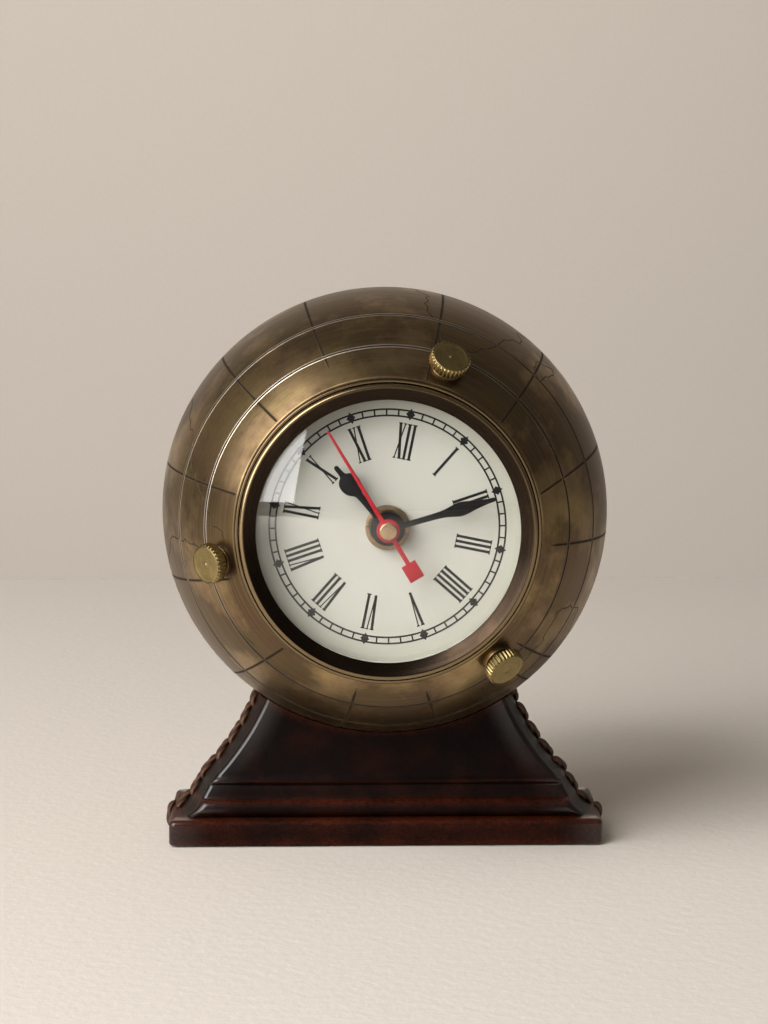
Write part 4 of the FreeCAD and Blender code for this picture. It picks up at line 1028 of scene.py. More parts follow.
def paint(node: str, finish: str) -> None:
    """Gives a carried-over CAD node its finish.

    Args:
        node: the node.
        finish: name of its finish.
    """
    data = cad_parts[node].data
    data.materials.clear()
    data.materials.append(MATERIALS[finish])
    log.info("%s: CAD node, %s", node, finish)


# Patterns built with Geometry Nodes

class Pattern:
    """A Geometry Nodes tree that repeats a shape and gives the whole its finish."""

    def __init__(self, name: str, inputs: dict[str, str]) -> None:
        """Starts the tree.

        Args:
            name: the tree's name.
            inputs: kind of each input beside the geometry and the finish, by name.
        """
        group = bpy.data.node_groups.new(name, "GeometryNodeTree")
        kinds = {"Geometry": "Geometry", **inputs, "Finish": "Material"}
        self.inputs = {}
        for label, kind in kinds.items():
            self.inputs[label] = group.interface.new_socket(
                name=label, in_out="INPUT", socket_type=f"NodeSocket{kind}").identifier
        group.interface.new_socket(name="Geometry", in_out="OUTPUT",
                                   socket_type="NodeSocketGeometry")
        self.tree = Tree(group)
        self.given = self.tree.node("NodeGroupInput").outputs

    def ended(self, points: Feed, shape: Feed, turn: Feed) -> None:
        """Sets the shape on every point and ends the tree.

        Args:
            points: where it is repeated.
            shape: the geometry.
            turn: the turn of each.
        """
        placed = self.tree.node("GeometryNodeInstanceOnPoints",
                                {"Points": points, "Instance": shape, "Rotation": turn})
        real = self.tree.node("GeometryNodeRealizeInstances", {0: placed.outputs[0]})
        coloured = self.tree.node("GeometryNodeSetMaterial",
                                  {"Geometry": real.outputs[0], "Material": self.given["Finish"]})
        self.tree.node("NodeGroupOutput", {0: coloured.outputs[0]})

    def run(self, thing: Object, finish: str, **values: object) -> Shape:
        """Runs the tree on a working object and reads the plain mesh back.

        Args:
            thing: the working object, removed afterwards.
            finish: name of the finish.
            values: values for the other inputs, by name.

        Returns:
            The result in millimetres, with its vertex values.
        """
        modifier = thing.modifiers.new("pattern", "NODES")
        modifier.node_group = self.tree.tree
        for label, value in {**values, "Finish": MATERIALS[finish]}.items():
            modifier[self.inputs[label]] = value
        whole = thing.evaluated_get(bpy.context.evaluated_depsgraph_get())
        mesh = bpy.data.meshes.new_from_object(whole)
        thing.modifiers.remove(modifier)
        vertices = [vertex.co / MM for vertex in mesh.vertices]
        faces = [tuple(face.vertices) for face in mesh.polygons]
        numbers = {layer.name: [item.value for item in layer.data] for layer in mesh.attributes
                   if layer.domain == "POINT" and layer.data_type == "FLOAT"
                   and not layer.is_internal}
        bpy.data.objects.remove(thing)
        bpy.data.meshes.remove(mesh)
        return Shape(vertices, faces, None, numbers)


class RingPattern(Pattern):
    """Repeats the mesh that it is given round the local z axis."""

    def __init__(self) -> None:
        """Builds the tree."""
        super().__init__("ring_pattern", {"Count": "Int"})
        points = self.tree.node("GeometryNodePoints", {"Count": self.given["Count"]})
        index = self.tree.node("GeometryNodeInputIndex").outputs[0]
        step = self.tree.math("DIVIDE", 2 * math.pi, self.given["Count"])
        turn = self.tree.vector(0.0, 0.0, self.tree.times(index, step))
        self.ended(points.outputs[0], self.given["Geometry"], turn)

    def laid(self, one: Shape, name: str, count: int, place: Matrix, finish: str) -> Shape:
        """Repeats a shape round the axis of a frame; returns the ring."""
        return self.run(one.made(name), finish, Count=count).moved(place)


class PathPattern(Pattern):
    """Sets an object along the path that it is given, slanted about the surface's normal."""

    sway: ClassVar[float] = 8.0

    def __init__(self) -> None:
        """Builds the tree."""
        super().__init__("path_pattern", {"Link": "Object", "Count": "Int", "Slant": "Float",
                                          "Sway": "Float"})
        tree, given = self.tree, self.given
        points = tree.node("GeometryNodeCurveToPoints",
                           {"Curve": given["Geometry"], "Count": given["Count"]})
        along = tree.node("FunctionNodeAxesToRotation",
                          {0: points.outputs["Tangent"], 1: (0.0, 1.0, 0.0)},
                          primary_axis="X", secondary_axis="Y")
        sway = tree.node("FunctionNodeRandomValue",
                         {2: tree.times(given["Sway"], -1.0), 3: given["Sway"], "Seed": SEED},
                         data_type="FLOAT")
        lean = tree.vector(0.0, 0.0, tree.plus(given["Slant"], sway.outputs[1]))
        slanted = tree.node("FunctionNodeRotateRotation", {0: along.outputs[0], 1: lean},
                            rotation_space="LOCAL")
        shape = tree.node("GeometryNodeObjectInfo", {"Object": given["Link"]})
        self.ended(points.outputs[0], shape.outputs["Geometry"], slanted.outputs[0])

    def laid(self, link: Shape, path: Sequence[Vector], name: str, count: int, slant: float,
             finish: str) -> Shape:
        """Sets one link at equal steps along a path.

        Args:
            link: the link, lying along local x with its back to local z.
            path: places of the path in millimetres.
            name: name of the working objects.
            count: how many links are set.
            slant: turn of each link about the surface's normal, in degrees.
            finish: name of the finish.

        Returns:
            All links as one shape.
        """
        curve = bpy.data.curves.new(name, "CURVE")
        curve.dimensions = "3D"
        spline = curve.splines.new("POLY")
        spline.points.add(len(path) - 1)
        for point, spot in zip(spline.points, path):
            point.co = (*(spot * MM), 1.0)
        thing = linked(name, curve)
        source = link.made(f"{name}_link")
        whole = self.run(thing, finish, Link=source, Count=count, Slant=math.radians(slant),
                         Sway=math.radians(self.sway))
        bpy.data.objects.remove(source)
        return whole


ring_pattern = RingPattern()
path_pattern = PathPattern()


# Globe

class Cut(Enum):
    """The cutters that engraved the globe, each with its half width and how strongly its burrs take
    the painted highlight on the side facing the lamp.
    """

    PARALLEL = (0.54, 1.0)
    MERIDIAN = (0.40, 0.0)
    COAST = (0.17, 0.0)


Coast = list[tuple[float, float]]

# Each coast: how far it is moved east, and its corners (longitude, latitude).

COASTS: dict[str, tuple[float, Coast]] = {
    "africa": (-2.0, [
        (-6, 36), (3, 37), (10, 37), (11, 34), (20, 31), (25, 32), (32, 31), (35, 28), (37, 21),
        (43, 12), (51, 12), (48, 5), (42, -2), (39, -8), (40, -15), (35, -20), (35, -24),
        (32, -29), (27, -34), (20, -35), (17, -29), (12, -18), (13, -9), (9, -1), (9, 4),
        (3, 6), (-8, 4), (-13, 8), (-17, 14), (-17, 21), (-10, 30), (-6, 36)]),
    "madagascar": (0.0, [(49, -12), (50, -16), (47, -25), (44, -22), (44, -17), (49, -12)]),
    "south_america": (-24.0, [
        (-72, 12), (-62, 10), (-52, 5), (-50, 0), (-40, -3), (-35, -7), (-39, -15), (-41, -22),
        (-48, -26), (-53, -33), (-58, -38), (-65, -42), (-66, -45), (-73, -45), (-73, -40),
        (-71, -30), (-70, -20), (-76, -14), (-81, -5), (-78, 1), (-77, 8), (-72, 12)]),
    "north_america": (-24.0, [
        (-77, 8), (-83, 10), (-88, 14), (-95, 16), (-105, 20), (-110, 24), (-117, 33),
        (-124, 41), (-124, 48), (-132, 55), (-145, 60), (-160, 58), (-166, 64), (-157, 71),
        (-140, 70), (-125, 70), (-110, 68), (-95, 69), (-85, 67), (-93, 60), (-85, 55),
        (-80, 53), (-78, 60), (-68, 58), (-62, 57), (-56, 52), (-65, 49), (-64, 45), (-70, 43),
        (-75, 38), (-81, 31), (-80, 26), (-84, 30), (-90, 29), (-97, 27), (-97, 20), (-91, 18),
        (-87, 21), (-88, 16), (-83, 14), (-81, 9), (-77, 8)]),
    "greenland": (-10.0, [
        (-45, 60), (-40, 65), (-22, 70), (-20, 76), (-30, 82), (-60, 81), (-70, 77), (-55, 70),
        (-50, 64), (-45, 60)]),
    "eurasia": (0.0, [
        (-9, 37), (-9, 43), (-2, 44), (-4, 48), (2, 51), (8, 54), (9, 57), (5, 59), (6, 62),
        (15, 68), (28, 71), (40, 67), (55, 68), (70, 73), (85, 74), (104, 77), (115, 74),
        (130, 71), (150, 71), (170, 69), (180, 66), (178, 62), (163, 59), (156, 52), (160, 60),
        (142, 59), (135, 54), (140, 48), (132, 43), (128, 37), (125, 40), (118, 38), (122, 31),
        (118, 24), (108, 21), (109, 12), (104, 10), (100, 13), (103, 2), (98, 9), (97, 16),
        (90, 22), (82, 16), (80, 9), (76, 9), (72, 20), (66, 25), (57, 26), (50, 29), (56, 24),
        (59, 22), (52, 16), (45, 13), (40, 20), (35, 28), (34, 32), (36, 36), (28, 37),
        (27, 40), (40, 41), (32, 46), (28, 43), (24, 40), (22, 37), (15, 40), (12, 44),
        (16, 38), (9, 44), (3, 42), (-1, 37), (-9, 37)]),
    "britain": (0.0, [(-5, 50), (1, 52), (-2, 57), (-5, 58), (-3, 54), (-5, 50)]),
    "japan": (0.0, [(131, 32), (136, 35), (141, 42), (140, 36), (131, 32)]),
    "borneo": (0.0, [(109, 1), (117, 7), (118, 1), (114, -4), (109, 1)]),
    "sumatra": (0.0, [(95, 5), (104, -3), (106, -6), (98, 2), (95, 5)]),
    "new_guinea": (0.0, [(131, -1), (141, -3), (150, -10), (142, -9), (138, -7), (131, -1)]),
    "australia": (0.0, [
        (114, -22), (122, -18), (130, -12), (136, -12), (140, -17), (143, -11), (146, -19),
        (153, -26), (150, -35), (144, -36), (138, -33), (130, -32), (118, -34), (115, -32),
        (114, -22)]),
}

# Each place across a cut: offset in half widths, lift in millimetres, and burr, or -1 in the groove.

CUT_FLOOR = 0.012
CUT_SECTION = ((-1.35, -0.10, 0.0), (-1.05, 0.02, 0.1), (-0.78, 0.075, 1.0), (-0.5, 0.05, 0.5),
               (-0.28, CUT_FLOOR, -1.0), (0.28, CUT_FLOOR, -1.0), (0.5, 0.05, 0.5),
               (0.78, 0.075, 1.0), (1.05, 0.02, 0.1), (1.35, -0.10, 0.0))


@dataclass
class Globe:
    """The hollow brass globe with its engraving, collar and screw bushes."""

    radius: float = 57.42
    inner_radius: float = 55.5
    rim_level: float = 43.2
    rim_radius: float = 37.95
    bore_radius: float = 36.9
    collar_bore: float = 35.7
    collar_foot: float = 37.6
    parallels: tuple[float, ...] = (51.4, 64.5, 90.0, 113.5, 131.0, 152.0)
    meridians: tuple[tuple[float, float, float], ...] = (
        (-77, 41.5, 1.0), (-46.5, 41.5, 1.5), (-21, 46.8, 1.5), (15, 41.5, -1.0),
        (44.6, 41.5, 1.2), (72, 41.5, 4.0), (95, 44.0, 0.4), (130.5, 47.5, 1.8),
        (139, 46.0, 2.1), (166, 45.4, 1.0), (192, 44.0, -0.9), (224, 42.0, -2.2),
        (254, 44.0, -1.2))
    ticks: tuple[tuple[float, float, float], ...] = (
        (-66, 50.2, 3.0), (62, 50.5, 4.5), (228, 49.5, 5.0), (30, 55.0, 4.0), (-98, 60.0, 3.0))
    # Direction of the lamp's side: engraved parallels near it get painted highlights on their burrs,
    # and painted shade on their slopes away from it.
    painted_highlight_side: tuple[float, float] = (-42.0, 60.0)
    narrowest: float = 0.12
    unevenness: float = 0.14
    rear_end: float = 172.0
    bush_radius: float = 4.0
    bush_bore: float = 2.05
    bush_levels: tuple[float, float] = (54.5, 58.25)

    def shell(self) -> Shape:
        """The casting: outside, rolled rim, bored mouth and smooth inside."""
        rim = math.degrees(math.acos(self.rim_radius / self.radius)) - 0.5
        mouth = math.degrees(math.acos(self.bore_radius / self.inner_radius))
        outside = arc((0.0, 0.0), self.radius, rim, -89.5, 150)
        inside = arc((0.0, 0.0), self.inner_radius, -89.0, mouth, 70)
        lip = softened([(self.bore_radius, self.rim_level - 1.0),
                        (self.bore_radius, self.rim_level, 0.2),
                        (self.rim_radius - 0.1, self.rim_level, 0.55), outside[1]], 6)[1:-1]
        section = [*lip, *outside, (0.0, -self.radius), (0.0, -self.inner_radius), *inside]
        return lathe(section, 256, dial_frame())

    def engraved(self, path: Sequence[Vector], cut: Cut, taper: tuple[float, float]) -> Shape:
        """One engraved line: two burrs with a dark valley between them.

        Args:
            path: unit vectors along the line, in the dial's frame.
            cut: the cutter.
            taper: length over which each end narrows, as shares of the line.

        Returns:
            The line, its values groove and burr set: groove is dark dirt in the cut, with painted
                shade on the slopes away from the lamp's side, and burr a painted highlight near it.
        """
        half, bright = cut.value
        lit = on_globe(*self.painted_highlight_side)
        vertices, groove, burr = [], [], []
        last = len(path) - 1
        for index, spot in enumerate(path):
            ahead = path[min(index + 1, last)] - path[max(index - 1, 0)]
            side = spot.cross(ahead).normalized()
            share = index / last
            width = half
            if taper[0] and share < taper[0]:
                width *= max(share / taper[0], self.narrowest)
            if taper[1] and 1 - share < taper[1]:
                width *= max((1 - share) / taper[1], self.narrowest)
            uneven = 1.0 + self.unevenness * noise.noise(spot * 26.0)
            # Painted highlight: on the parallels, the burrs brighten, and stand higher, the nearer the
            # line lies to the lamp's side; bright says how much.
            shine = bright * min(max(0.12, 1.5 * spot.dot(lit) - 0.35), 1.0)
            for offset, lift, tone in CUT_SECTION:
                proud = max(lift - CUT_FLOOR, 0.0)
                rise = min(lift, CUT_FLOOR) + proud * (0.35 + 0.65 * shine)
                vertices.append(spot * (self.radius + rise) + side * offset * width * uneven)
                # Painted shade: on the parallels, the groove's slopes darken the further the line lies
                # from the lamp's side; the floor of every cut is dark dirt.
                depth = 1.0 if tone < 0 else (1.0 - shine) * (0.9 if abs(offset) < 0.6 else 0.3)
                groove.append(depth if abs(offset) < 1.2 else 0.0)
                burr.append(max(tone, 0.0) * shine)
        shape = Shape(vertices, grid(len(path), len(CUT_SECTION)), None,
                      {"groove": groove, "burr": burr})
        return shape.moved(dial_frame())

    def lines(self) -> Iterable[Shape]:
        """Every engraved line: parallels, meridians, coasts and loose ticks."""
        for off_axis in self.parallels:
            ring = [on_globe(angle, off_axis + 0.12 * math.sin(math.radians(angle * 3)))
                    for angle in spaced(0.0, 360.0, 360)]
            yield self.engraved(ring, Cut.PARALLEL, (0.0, 0.0))
        for around, inner_end, twist in self.meridians:
            line = [on_globe(around + twist * math.exp(-(off_axis - 42) / 16), off_axis)
                    for off_axis in spaced(inner_end, self.rear_end, 200)]
            taper = 0.022 if inner_end > 42.5 else 0.004
            yield self.engraved(line, Cut.MERIDIAN, (taper, 0.05))
        for drift, coast in COASTS.values():
            yield self.engraved(self.wandering(coast, drift), Cut.COAST, (0.0, 0.0))
        for around, off_axis, length in self.ticks:
            dash = [on_globe(around + share * length, off_axis + share)
                    for share in spaced(0.0, 1.0, 8)]
            yield self.engraved(dash, Cut.COAST, (0.3, 0.5))

    def wandering(self, coast: Coast, drift: float) -> list[Vector]:
        """A coast as unit vectors, its straight runs broken into small wiggles.

        Args:
            coast: corners (longitude, latitude) in degrees.
            drift: degrees added to every longitude.

        Returns:
            The finer line; the south pole lies on the dial's axis.
        """
        line = []
        for (first_lon, first_lat), (second_lon, second_lat) in zip(coast, coast[1:]):
            steps = max(3, int(math.hypot(second_lon - first_lon, second_lat - first_lat) / 1.1))
            for step in range(steps):
                share = step / steps
                lon = first_lon + (second_lon - first_lon) * share
                lat = first_lat + (second_lat - first_lat) * share
                wiggle = noise.noise_vector(Vector((lon * 0.33, lat * 0.33, 4.0))) * 1.5
                line.append(on_globe(lon + drift + wiggle.x, 90 + lat + wiggle.y))
        line.append(line[0])
        return line

    def bushes(self) -> Shape:
        """The three bushes, each a tube whose soft top stands proud of the globe."""
        low, high = self.bush_levels
        section = softened([(self.bush_bore, low), (self.bush_radius, low),
                            (self.bush_radius, high, 0.45), (self.bush_bore, high, 0.15)])
        return joined([lathe(section, 64, screw_frame(around, ThumbScrews.tilt))
                       for around in ThumbScrews.around.values()])

    def build(self) -> None:
        """Builds and dresses the globe."""
        dress(self.shell().made("globe_shell", 30.0, 0.0005), "aged_brass", "globe",
              "globe_front_half", "globe_rear_half")
        dress(joined(list(self.lines())).made("globe_engraving", 60.0), "aged_brass", "globe")
        dress(self.bushes().made("bush_tubes"), "aged_brass", "globe", "screw_bushes")
        collar = softened([(self.collar_bore, self.collar_foot, 0.2),
                           (self.bore_radius, self.collar_foot, 0.2),
                           (self.bore_radius, self.rim_level),
                           (self.collar_bore, self.rim_level, 0.25)])
        dress(lathe(collar, 160, dial_frame()).made("mouth_collar"), "aged_brass", "globe",
              "opening_collar")


# Thumb screws

@dataclass
class ThumbScrews:
    """The three knurled thumb screws."""

    around: ClassVar[dict[str, float]] = {"top": 19.7, "right": 139.7, "left": 259.7}
    tilt: ClassVar[float] = 47.0
    tip: float = 49.81
    head: float = 59.2
    face: float = 62.0
    head_radius: float = 5.0
    knurl_depth: float = 0.30
    knurl_count: int = 30

    def core(self) -> list[tuple[float, float]]:
        """Section of the screw without its knurls."""
        root = self.head_radius - self.knurl_depth
        return softened([
            (0.0, self.tip), (1.0, self.tip, 0.1), (2.0, self.tip + 1.0, 0.1),
            (2.0, self.head - 0.9, 0.1), (2.8, self.head - 0.7, 0.15), (2.8, self.head, 0.1),
            (root - 0.3, self.head, 0.1), (root, self.head + 0.3, 0.1),
            (root, self.face - 0.42, 0.12), (root - 0.3, self.face - 0.06, 0.15),
            (root - 0.75, self.face - 0.06, 0.06), (root - 0.95, self.face - 0.13, 0.05),
            (1.2, self.face - 0.10, 0.2), (0.6, self.face, 0.1), (0.3, self.face + 0.16, 0.12),
            (0.0, self.face + 0.17)], 3)

    def ridge(self) -> Shape:
        """One knurl: a rounded bar with bevelled ends, lying along the screw."""
        root, crest = self.head_radius - self.knurl_depth - 0.12, self.head_radius
        half = math.pi * self.head_radius / self.knurl_count * 0.94
        outline = [(root, -half), (crest - 0.16, -half * 0.62), (crest - 0.03, -half * 0.26),
                   (crest, 0.0), (crest - 0.03, half * 0.26), (crest - 0.16, half * 0.62),
                   (root, half)]
        levels = [(self.head + 0.02, -0.34), (self.head + 0.30, 0.0), (self.face - 0.42, 0.0),
                  (self.face - 0.10, -0.30)]
        vertices = [Vector((max(reach + inset, root - 0.05), side, level))
                    for level, inset in levels for reach, side in outline]
        wide, last = len(outline), (len(levels) - 1) * len(outline)
        faces = grid(len(levels), wide)
        faces += [(start, start + wide, start + 2 * wide - 1, start + wide - 1)
                  for start in range(0, last, wide)]
        faces += [tuple(range(wide)), tuple(range(last, last + wide))]
        return Shape(vertices, faces)

    def build(self) -> None:
        """Builds and dresses the three screws."""
        for side, around in self.around.items():
            place = screw_frame(around, self.tilt)
            core = lathe(self.core(), 90, place)
            knurls = ring_pattern.laid(self.ridge(), f"knurl_{side}", self.knurl_count, place,
                                       "screw_brass")
            screw = joined([core, knurls]).made(f"{side}_thumb_screw", 32.0)
            dress(screw, "screw_brass", f"{side}_screw", f"thumb_screw_{side}")


# Stand

@dataclass
class Level:
    """One level of the leather.

    Attributes:
        height: its height.
        depth: half its depth.
        width: half its width.
        bow: place on the long axis of the centre of an end's bow.
        corner: round of its corners.
        wear_and_sheen: how far its skin is rubbed, and on the plinth's face a painted sheen.
        climbs: on the flare, its share of the way from the foot to the seat.
    """

    height: float
    depth: float
    width: float
    bow: float = 5.0
    corner: float = 1.3
    wear_and_sheen: float = 0.0
    climbs: float | None = None


@dataclass
class Stitch:
    """One whip stitch of the lace, lying along local x with its back to local z.

    Attributes:
        reach: half its length.
        lean: how far its ends swing aside.
        rise: height of its middle.
        dive: how far its ends dip below that.
        radius: of the lace.
        strands: how many are twisted together.
        twist: their turn from the middle to an end, in radians.
        furrow: depth of the furrow between two, as a share of the radius.
        steps: edges along it, and round it.
    """

    reach: float = 4.2
    lean: float = 0.4
    rise: float = 0.42
    dive: float = 1.25
    radius: float = 1.12
    strands: int = 3
    twist: float = 6.5
    furrow: float = 0.13
    steps: int = 18

    def shape(self) -> Shape:
        """The stitch, its value strand high on the back of each strand."""
        vertices, strand = [], []
        for share in spaced(-1.0, 1.0, self.steps):
            centre = Vector((self.reach * share, self.lean * math.sin(share * 2.2),
                             self.rise - self.dive * share ** 4))
            swell = self.radius * math.sqrt(max(1 - abs(share) ** 6, 0.03))
            for step in range(self.steps):
                angle = 2 * math.pi * step / self.steps
                lobe = math.cos(self.strands * angle - share * self.twist)
                size = swell * (1 + self.furrow * lobe)
                vertices.append(centre + Vector((0, size * 1.06 * math.cos(angle),
                                                 size * 0.8 * math.sin(angle))))
                strand.append(0.5 + 0.5 * lobe)
        count = len(vertices)
        faces = grid(self.steps + 1, self.steps, closed=True)
        faces += [tuple(range(self.steps)), tuple(range(count - self.steps, count))]
        return Shape(vertices, faces, None, {"strand": strand})


@dataclass
class Stand:
    """The moulded stand: leather halves, lacing, felt, lining and the wooden block."""

    seat_radius: float = 57.8
    seat_top: float = 37.2
    thickness: float = 1.42
    plinth: tuple[float, float, float] = (55.9, 18.6, 7.0)
    plinth_corner: float = 1.6
    plinth_rounds: tuple[float, float] = (0.7, 1.3)
    straight_bow: float = -1000.0
    end_foot: Point = (54.6, 6.2)
    end_knee: Point = (47.0, 16.2)
    end_top: Point = (33.1, 37.3)
    end_radii: tuple[float, float] = (26.0, 62.0)
    round_level: float = 9.25
    round_half: float = 2.25
    round_radius: float = 2.7
    round_edge: float = 14.9
    neck: tuple[Point, ...] = ((12.1, 13.80), (12.7, 13.62), (13.3, 13.52), (13.9, 13.42),
                               (14.4, 13.26), (14.75, 13.06))
    flare_foot: float = 15.0
    flare_base: float = 13.0
    flare_low: Point = (13.4, 15.8)
    flare_high: Point = (12.0, 37.3)
    flare_radius: float = 120.0
    lip: tuple[float, float, float] = (0.50, 16.3, 0.8)
    crease: tuple[float, float, float] = (0.50, 14.95, 0.5)
    seam_dip: tuple[float, float, float] = (0.55, 0.0, 0.55)
    stitch_count: int = 8
    stitch_slant: float = 31.0
    side_steps: tuple[float, ...] = (0.0, 0.012, 0.026, 0.045, 0.075, 0.13, 0.22, 0.34, 0.48,
                                     0.64, 0.82, 1.0)

    @staticmethod
    def hollow(first: Point, second: Point, radius: float, height: float) -> float:
        """Half size at a height on a hollow arc between two points (half size, height).

        Args:
            first: lower end.
            second: upper end.
            radius: radius of the arc, whose centre lies outside the stand.
            height: where it is read.

        Returns:
            The half size there.
        """
        start, end = Vector(first), Vector(second)
        chord = end - start
        across = Vector((chord.y, -chord.x)).normalized()
        rise = math.sqrt(radius ** 2 - (chord.length / 2) ** 2)
        centre = (start + end) / 2 + across * rise
        return centre.x - math.sqrt(max(radius ** 2 - (height - centre.y) ** 2, 0.0))

    def width_at(self, height: float) -> float:
        """Half width of the stand above the plinth, up the middle of an end.

        Args:
            height: where it is read.

        Returns:
            The half width there.
        """
        if height <= self.end_foot[1]:
            return self.end_foot[0]
        if height <= self.end_knee[1]:
            return self.hollow(self.end_foot, self.end_knee, self.end_radii[0], height)
        return self.hollow(self.end_knee, self.end_top, self.end_radii[1], height)

    def depth_at(self, height: float) -> float:
        """Half depth of the flare at a height, with the lip that stands out at its foot."""
        depth = self.hollow(self.flare_low, self.flare_high, self.flare_radius, height)
        return depth + hump(height, *self.lip) - hump(height, *self.crease)

    def outer_levels(self) -> list[Level]:
        """Levels of the outside from the table up to the seat."""
        low_round, top_round = self.plinth_rounds
        top = self.plinth[2]
        levels = []
        for angle in (90, 60, 30, 0):
            inset = low_round * (1 - math.cos(math.radians(angle)))
            height = 1.0 - low_round * math.sin(math.radians(angle))
            levels.append(self.plinth_level(height, 0.55, inset))
        # On the plinth's face the rust wear also lightens the skin as a painted sheen.
        levels += [self.plinth_level(height, wear_and_sheen)
                   for height, wear_and_sheen in ((2.2, 0.25), (3.6, 0.2), (4.9, 0.3))]
        for angle in (0, 18, 36, 54, 72, 90):
            inset = top_round * (1 - math.cos(math.radians(angle)))
            height = top - top_round + top_round * math.sin(math.radians(angle))
            levels.append(self.plinth_level(height, 0.35 + 0.65 * angle / 90, inset))
        levels.append(Level(6.98, 16.2, 54.5, self.straight_bow, 2.0, 0.9))
        levels += [self.upper_level(7.0, 15.2, 0.35, 2.0), self.upper_level(7.25, 14.95, 0.05, 2.2)]
        radius, half = self.round_radius, self.round_half
        centre = self.round_edge - math.sqrt(radius ** 2 - half ** 2)
        for share in spaced(-0.9, 0.94, 9):
            height = self.round_level + half * share
            depth = centre + math.sqrt(radius ** 2 - (half * share) ** 2)
            levels.append(self.upper_level(height, depth, 0.75 * max(share, 0.0) ** 2 + 0.04, 2.4))
        levels.append(Level(11.52, 14.45, self.width_at(11.5), wear_and_sheen=0.8, corner=2.2))
        levels.append(Level(11.62, 14.0, self.width_at(11.6), wear_and_sheen=0.3, corner=1.8))
        levels += [self.upper_level(height, depth, 0.05, 1.4) for height, depth in self.neck]
        for share in (*spaced(0.0, 0.15, 12), *spaced(0.19, 1.0, 19)):
            wear_and_sheen = 0.2 if 0.04 < share < 0.08 else 0.5 * max(0.0, share - 0.9) * 10
            levels.append(Level(self.flare_foot, 0, 0, corner=1.7, wear_and_sheen=wear_and_sheen, climbs=share))
        return levels

    def plinth_level(self, height: float, wear_and_sheen: float, inset: float = 0.0) -> Level:
        """A level of the plinth, drawn in by an inset."""
        wide, deep, _ = self.plinth
        return Level(height, deep - inset, wide - inset, self.straight_bow, self.plinth_corner,
                     wear_and_sheen)

    def upper_level(self, height: float, depth: float, wear_and_sheen: float, corner: float) -> Level:
        """A level above the plinth, as wide as the ends are there."""
        return Level(height, depth, self.width_at(height), corner=corner, wear_and_sheen=wear_and_sheen)

    def outline(self, level: Level, inset: float) -> list[Vector]:
        """The front half of one level's outline, from the right seam round to the left one.

        Args:
            level: the level.
            inset: how far inside the outer face it lies.

        Returns:
            Its places, at the level's height.
        """
        depth, width = level.depth - inset, level.width - inset
        corner = max(level.corner - inset, 0.25)
        reach = width - level.bow
        turn_x = level.bow + math.sqrt((reach - corner) ** 2 - (depth - corner) ** 2)
        away = math.atan2(depth - corner, turn_x - level.bow)
        side = []
        for share in self.side_steps:
            angle = away * share
            dip = hump(angle * reach, *self.seam_dip)
            side.append(Vector((level.bow + (reach - dip) * math.cos(angle),
                                -(reach - dip) * math.sin(angle))))
        for step in range(1, 7):
            angle = away + (math.pi / 2 - away) * step / 6
            side.append(Vector((turn_x + corner * math.cos(angle),
                                -(depth - corner) - corner * math.sin(angle))))
        front = [Vector((turn_x * share, -depth)) for share in spaced(1.0, -1.0, 34)[1:-1]]
        mirrored = [Vector((-spot.x, spot.y)) for spot in reversed(side)]
        return [Vector((spot.x, spot.y, level.height)) for spot in side + front + mirrored]

    def placed(self, level: Level, inset: float) -> list[Vector]:
        """One level's places; on the flare each climbs its share of the way to the seat.

        Args:
            level: the level.
            inset: how far inside the outer face they lie.

        Returns:
            The front half's places, rippled.
        """
        if level.climbs is None:
            return self.rippled(self.outline(level, inset))
        foot = self.flare_foot
        base = self.outline(Level(foot, self.flare_base, self.width_at(foot),
                                  corner=level.corner), inset)
        places = []
        for column in range(len(base)):
            low, high = foot, self.seat_top
            for _ in range(22):
                middle = (low + high) / 2
                spot = self.on_flare(column, middle, level.corner, inset)
                inside = spot.x ** 2 + spot.y ** 2 + (spot.z - GLOBE_HEIGHT) ** 2
                low, high = (low, middle) if inside < self.seat_radius ** 2 else (middle, high)
            height = foot + (low - foot) * level.climbs
            places.append(self.on_flare(column, height, level.corner, inset))
        return self.rippled(places)

    def on_flare(self, column: int, height: float, corner: float, inset: float) -> Vector:
        """The place of one column of the outline on the flare.

        Args:
            column: the column.
            height: where it is read.
            corner: round of the corners there.
            inset: how far inside the outer face it lies.

        Returns:
            The place.
        """
        key = (round(height, 3), corner, inset)
        if key not in self.cache:
            level = Level(height, self.depth_at(height), self.width_at(height), corner=corner)
            self.cache[key] = self.outline(level, inset)
        return self.cache[key][column]

    def rippled(self, places: list[Vector]) -> list[Vector]:
        """Small hand-made unevenness of the skin, only ever inwards.

        Args:
            places: places on the even skin.

        Returns:
            The same places on the uneven one.
        """
        eased = []
        for spot in places:
            ripple = 0.16 * (0.5 + 0.5 * noise.noise(spot * 0.085))
            ripple += 0.06 * (0.5 + 0.5 * noise.noise(spot * 0.35))
            inward = Vector((-spot.x * 0.25, -spot.y, 0.0)).normalized()
            eased.append(spot + inward * ripple)
        return eased

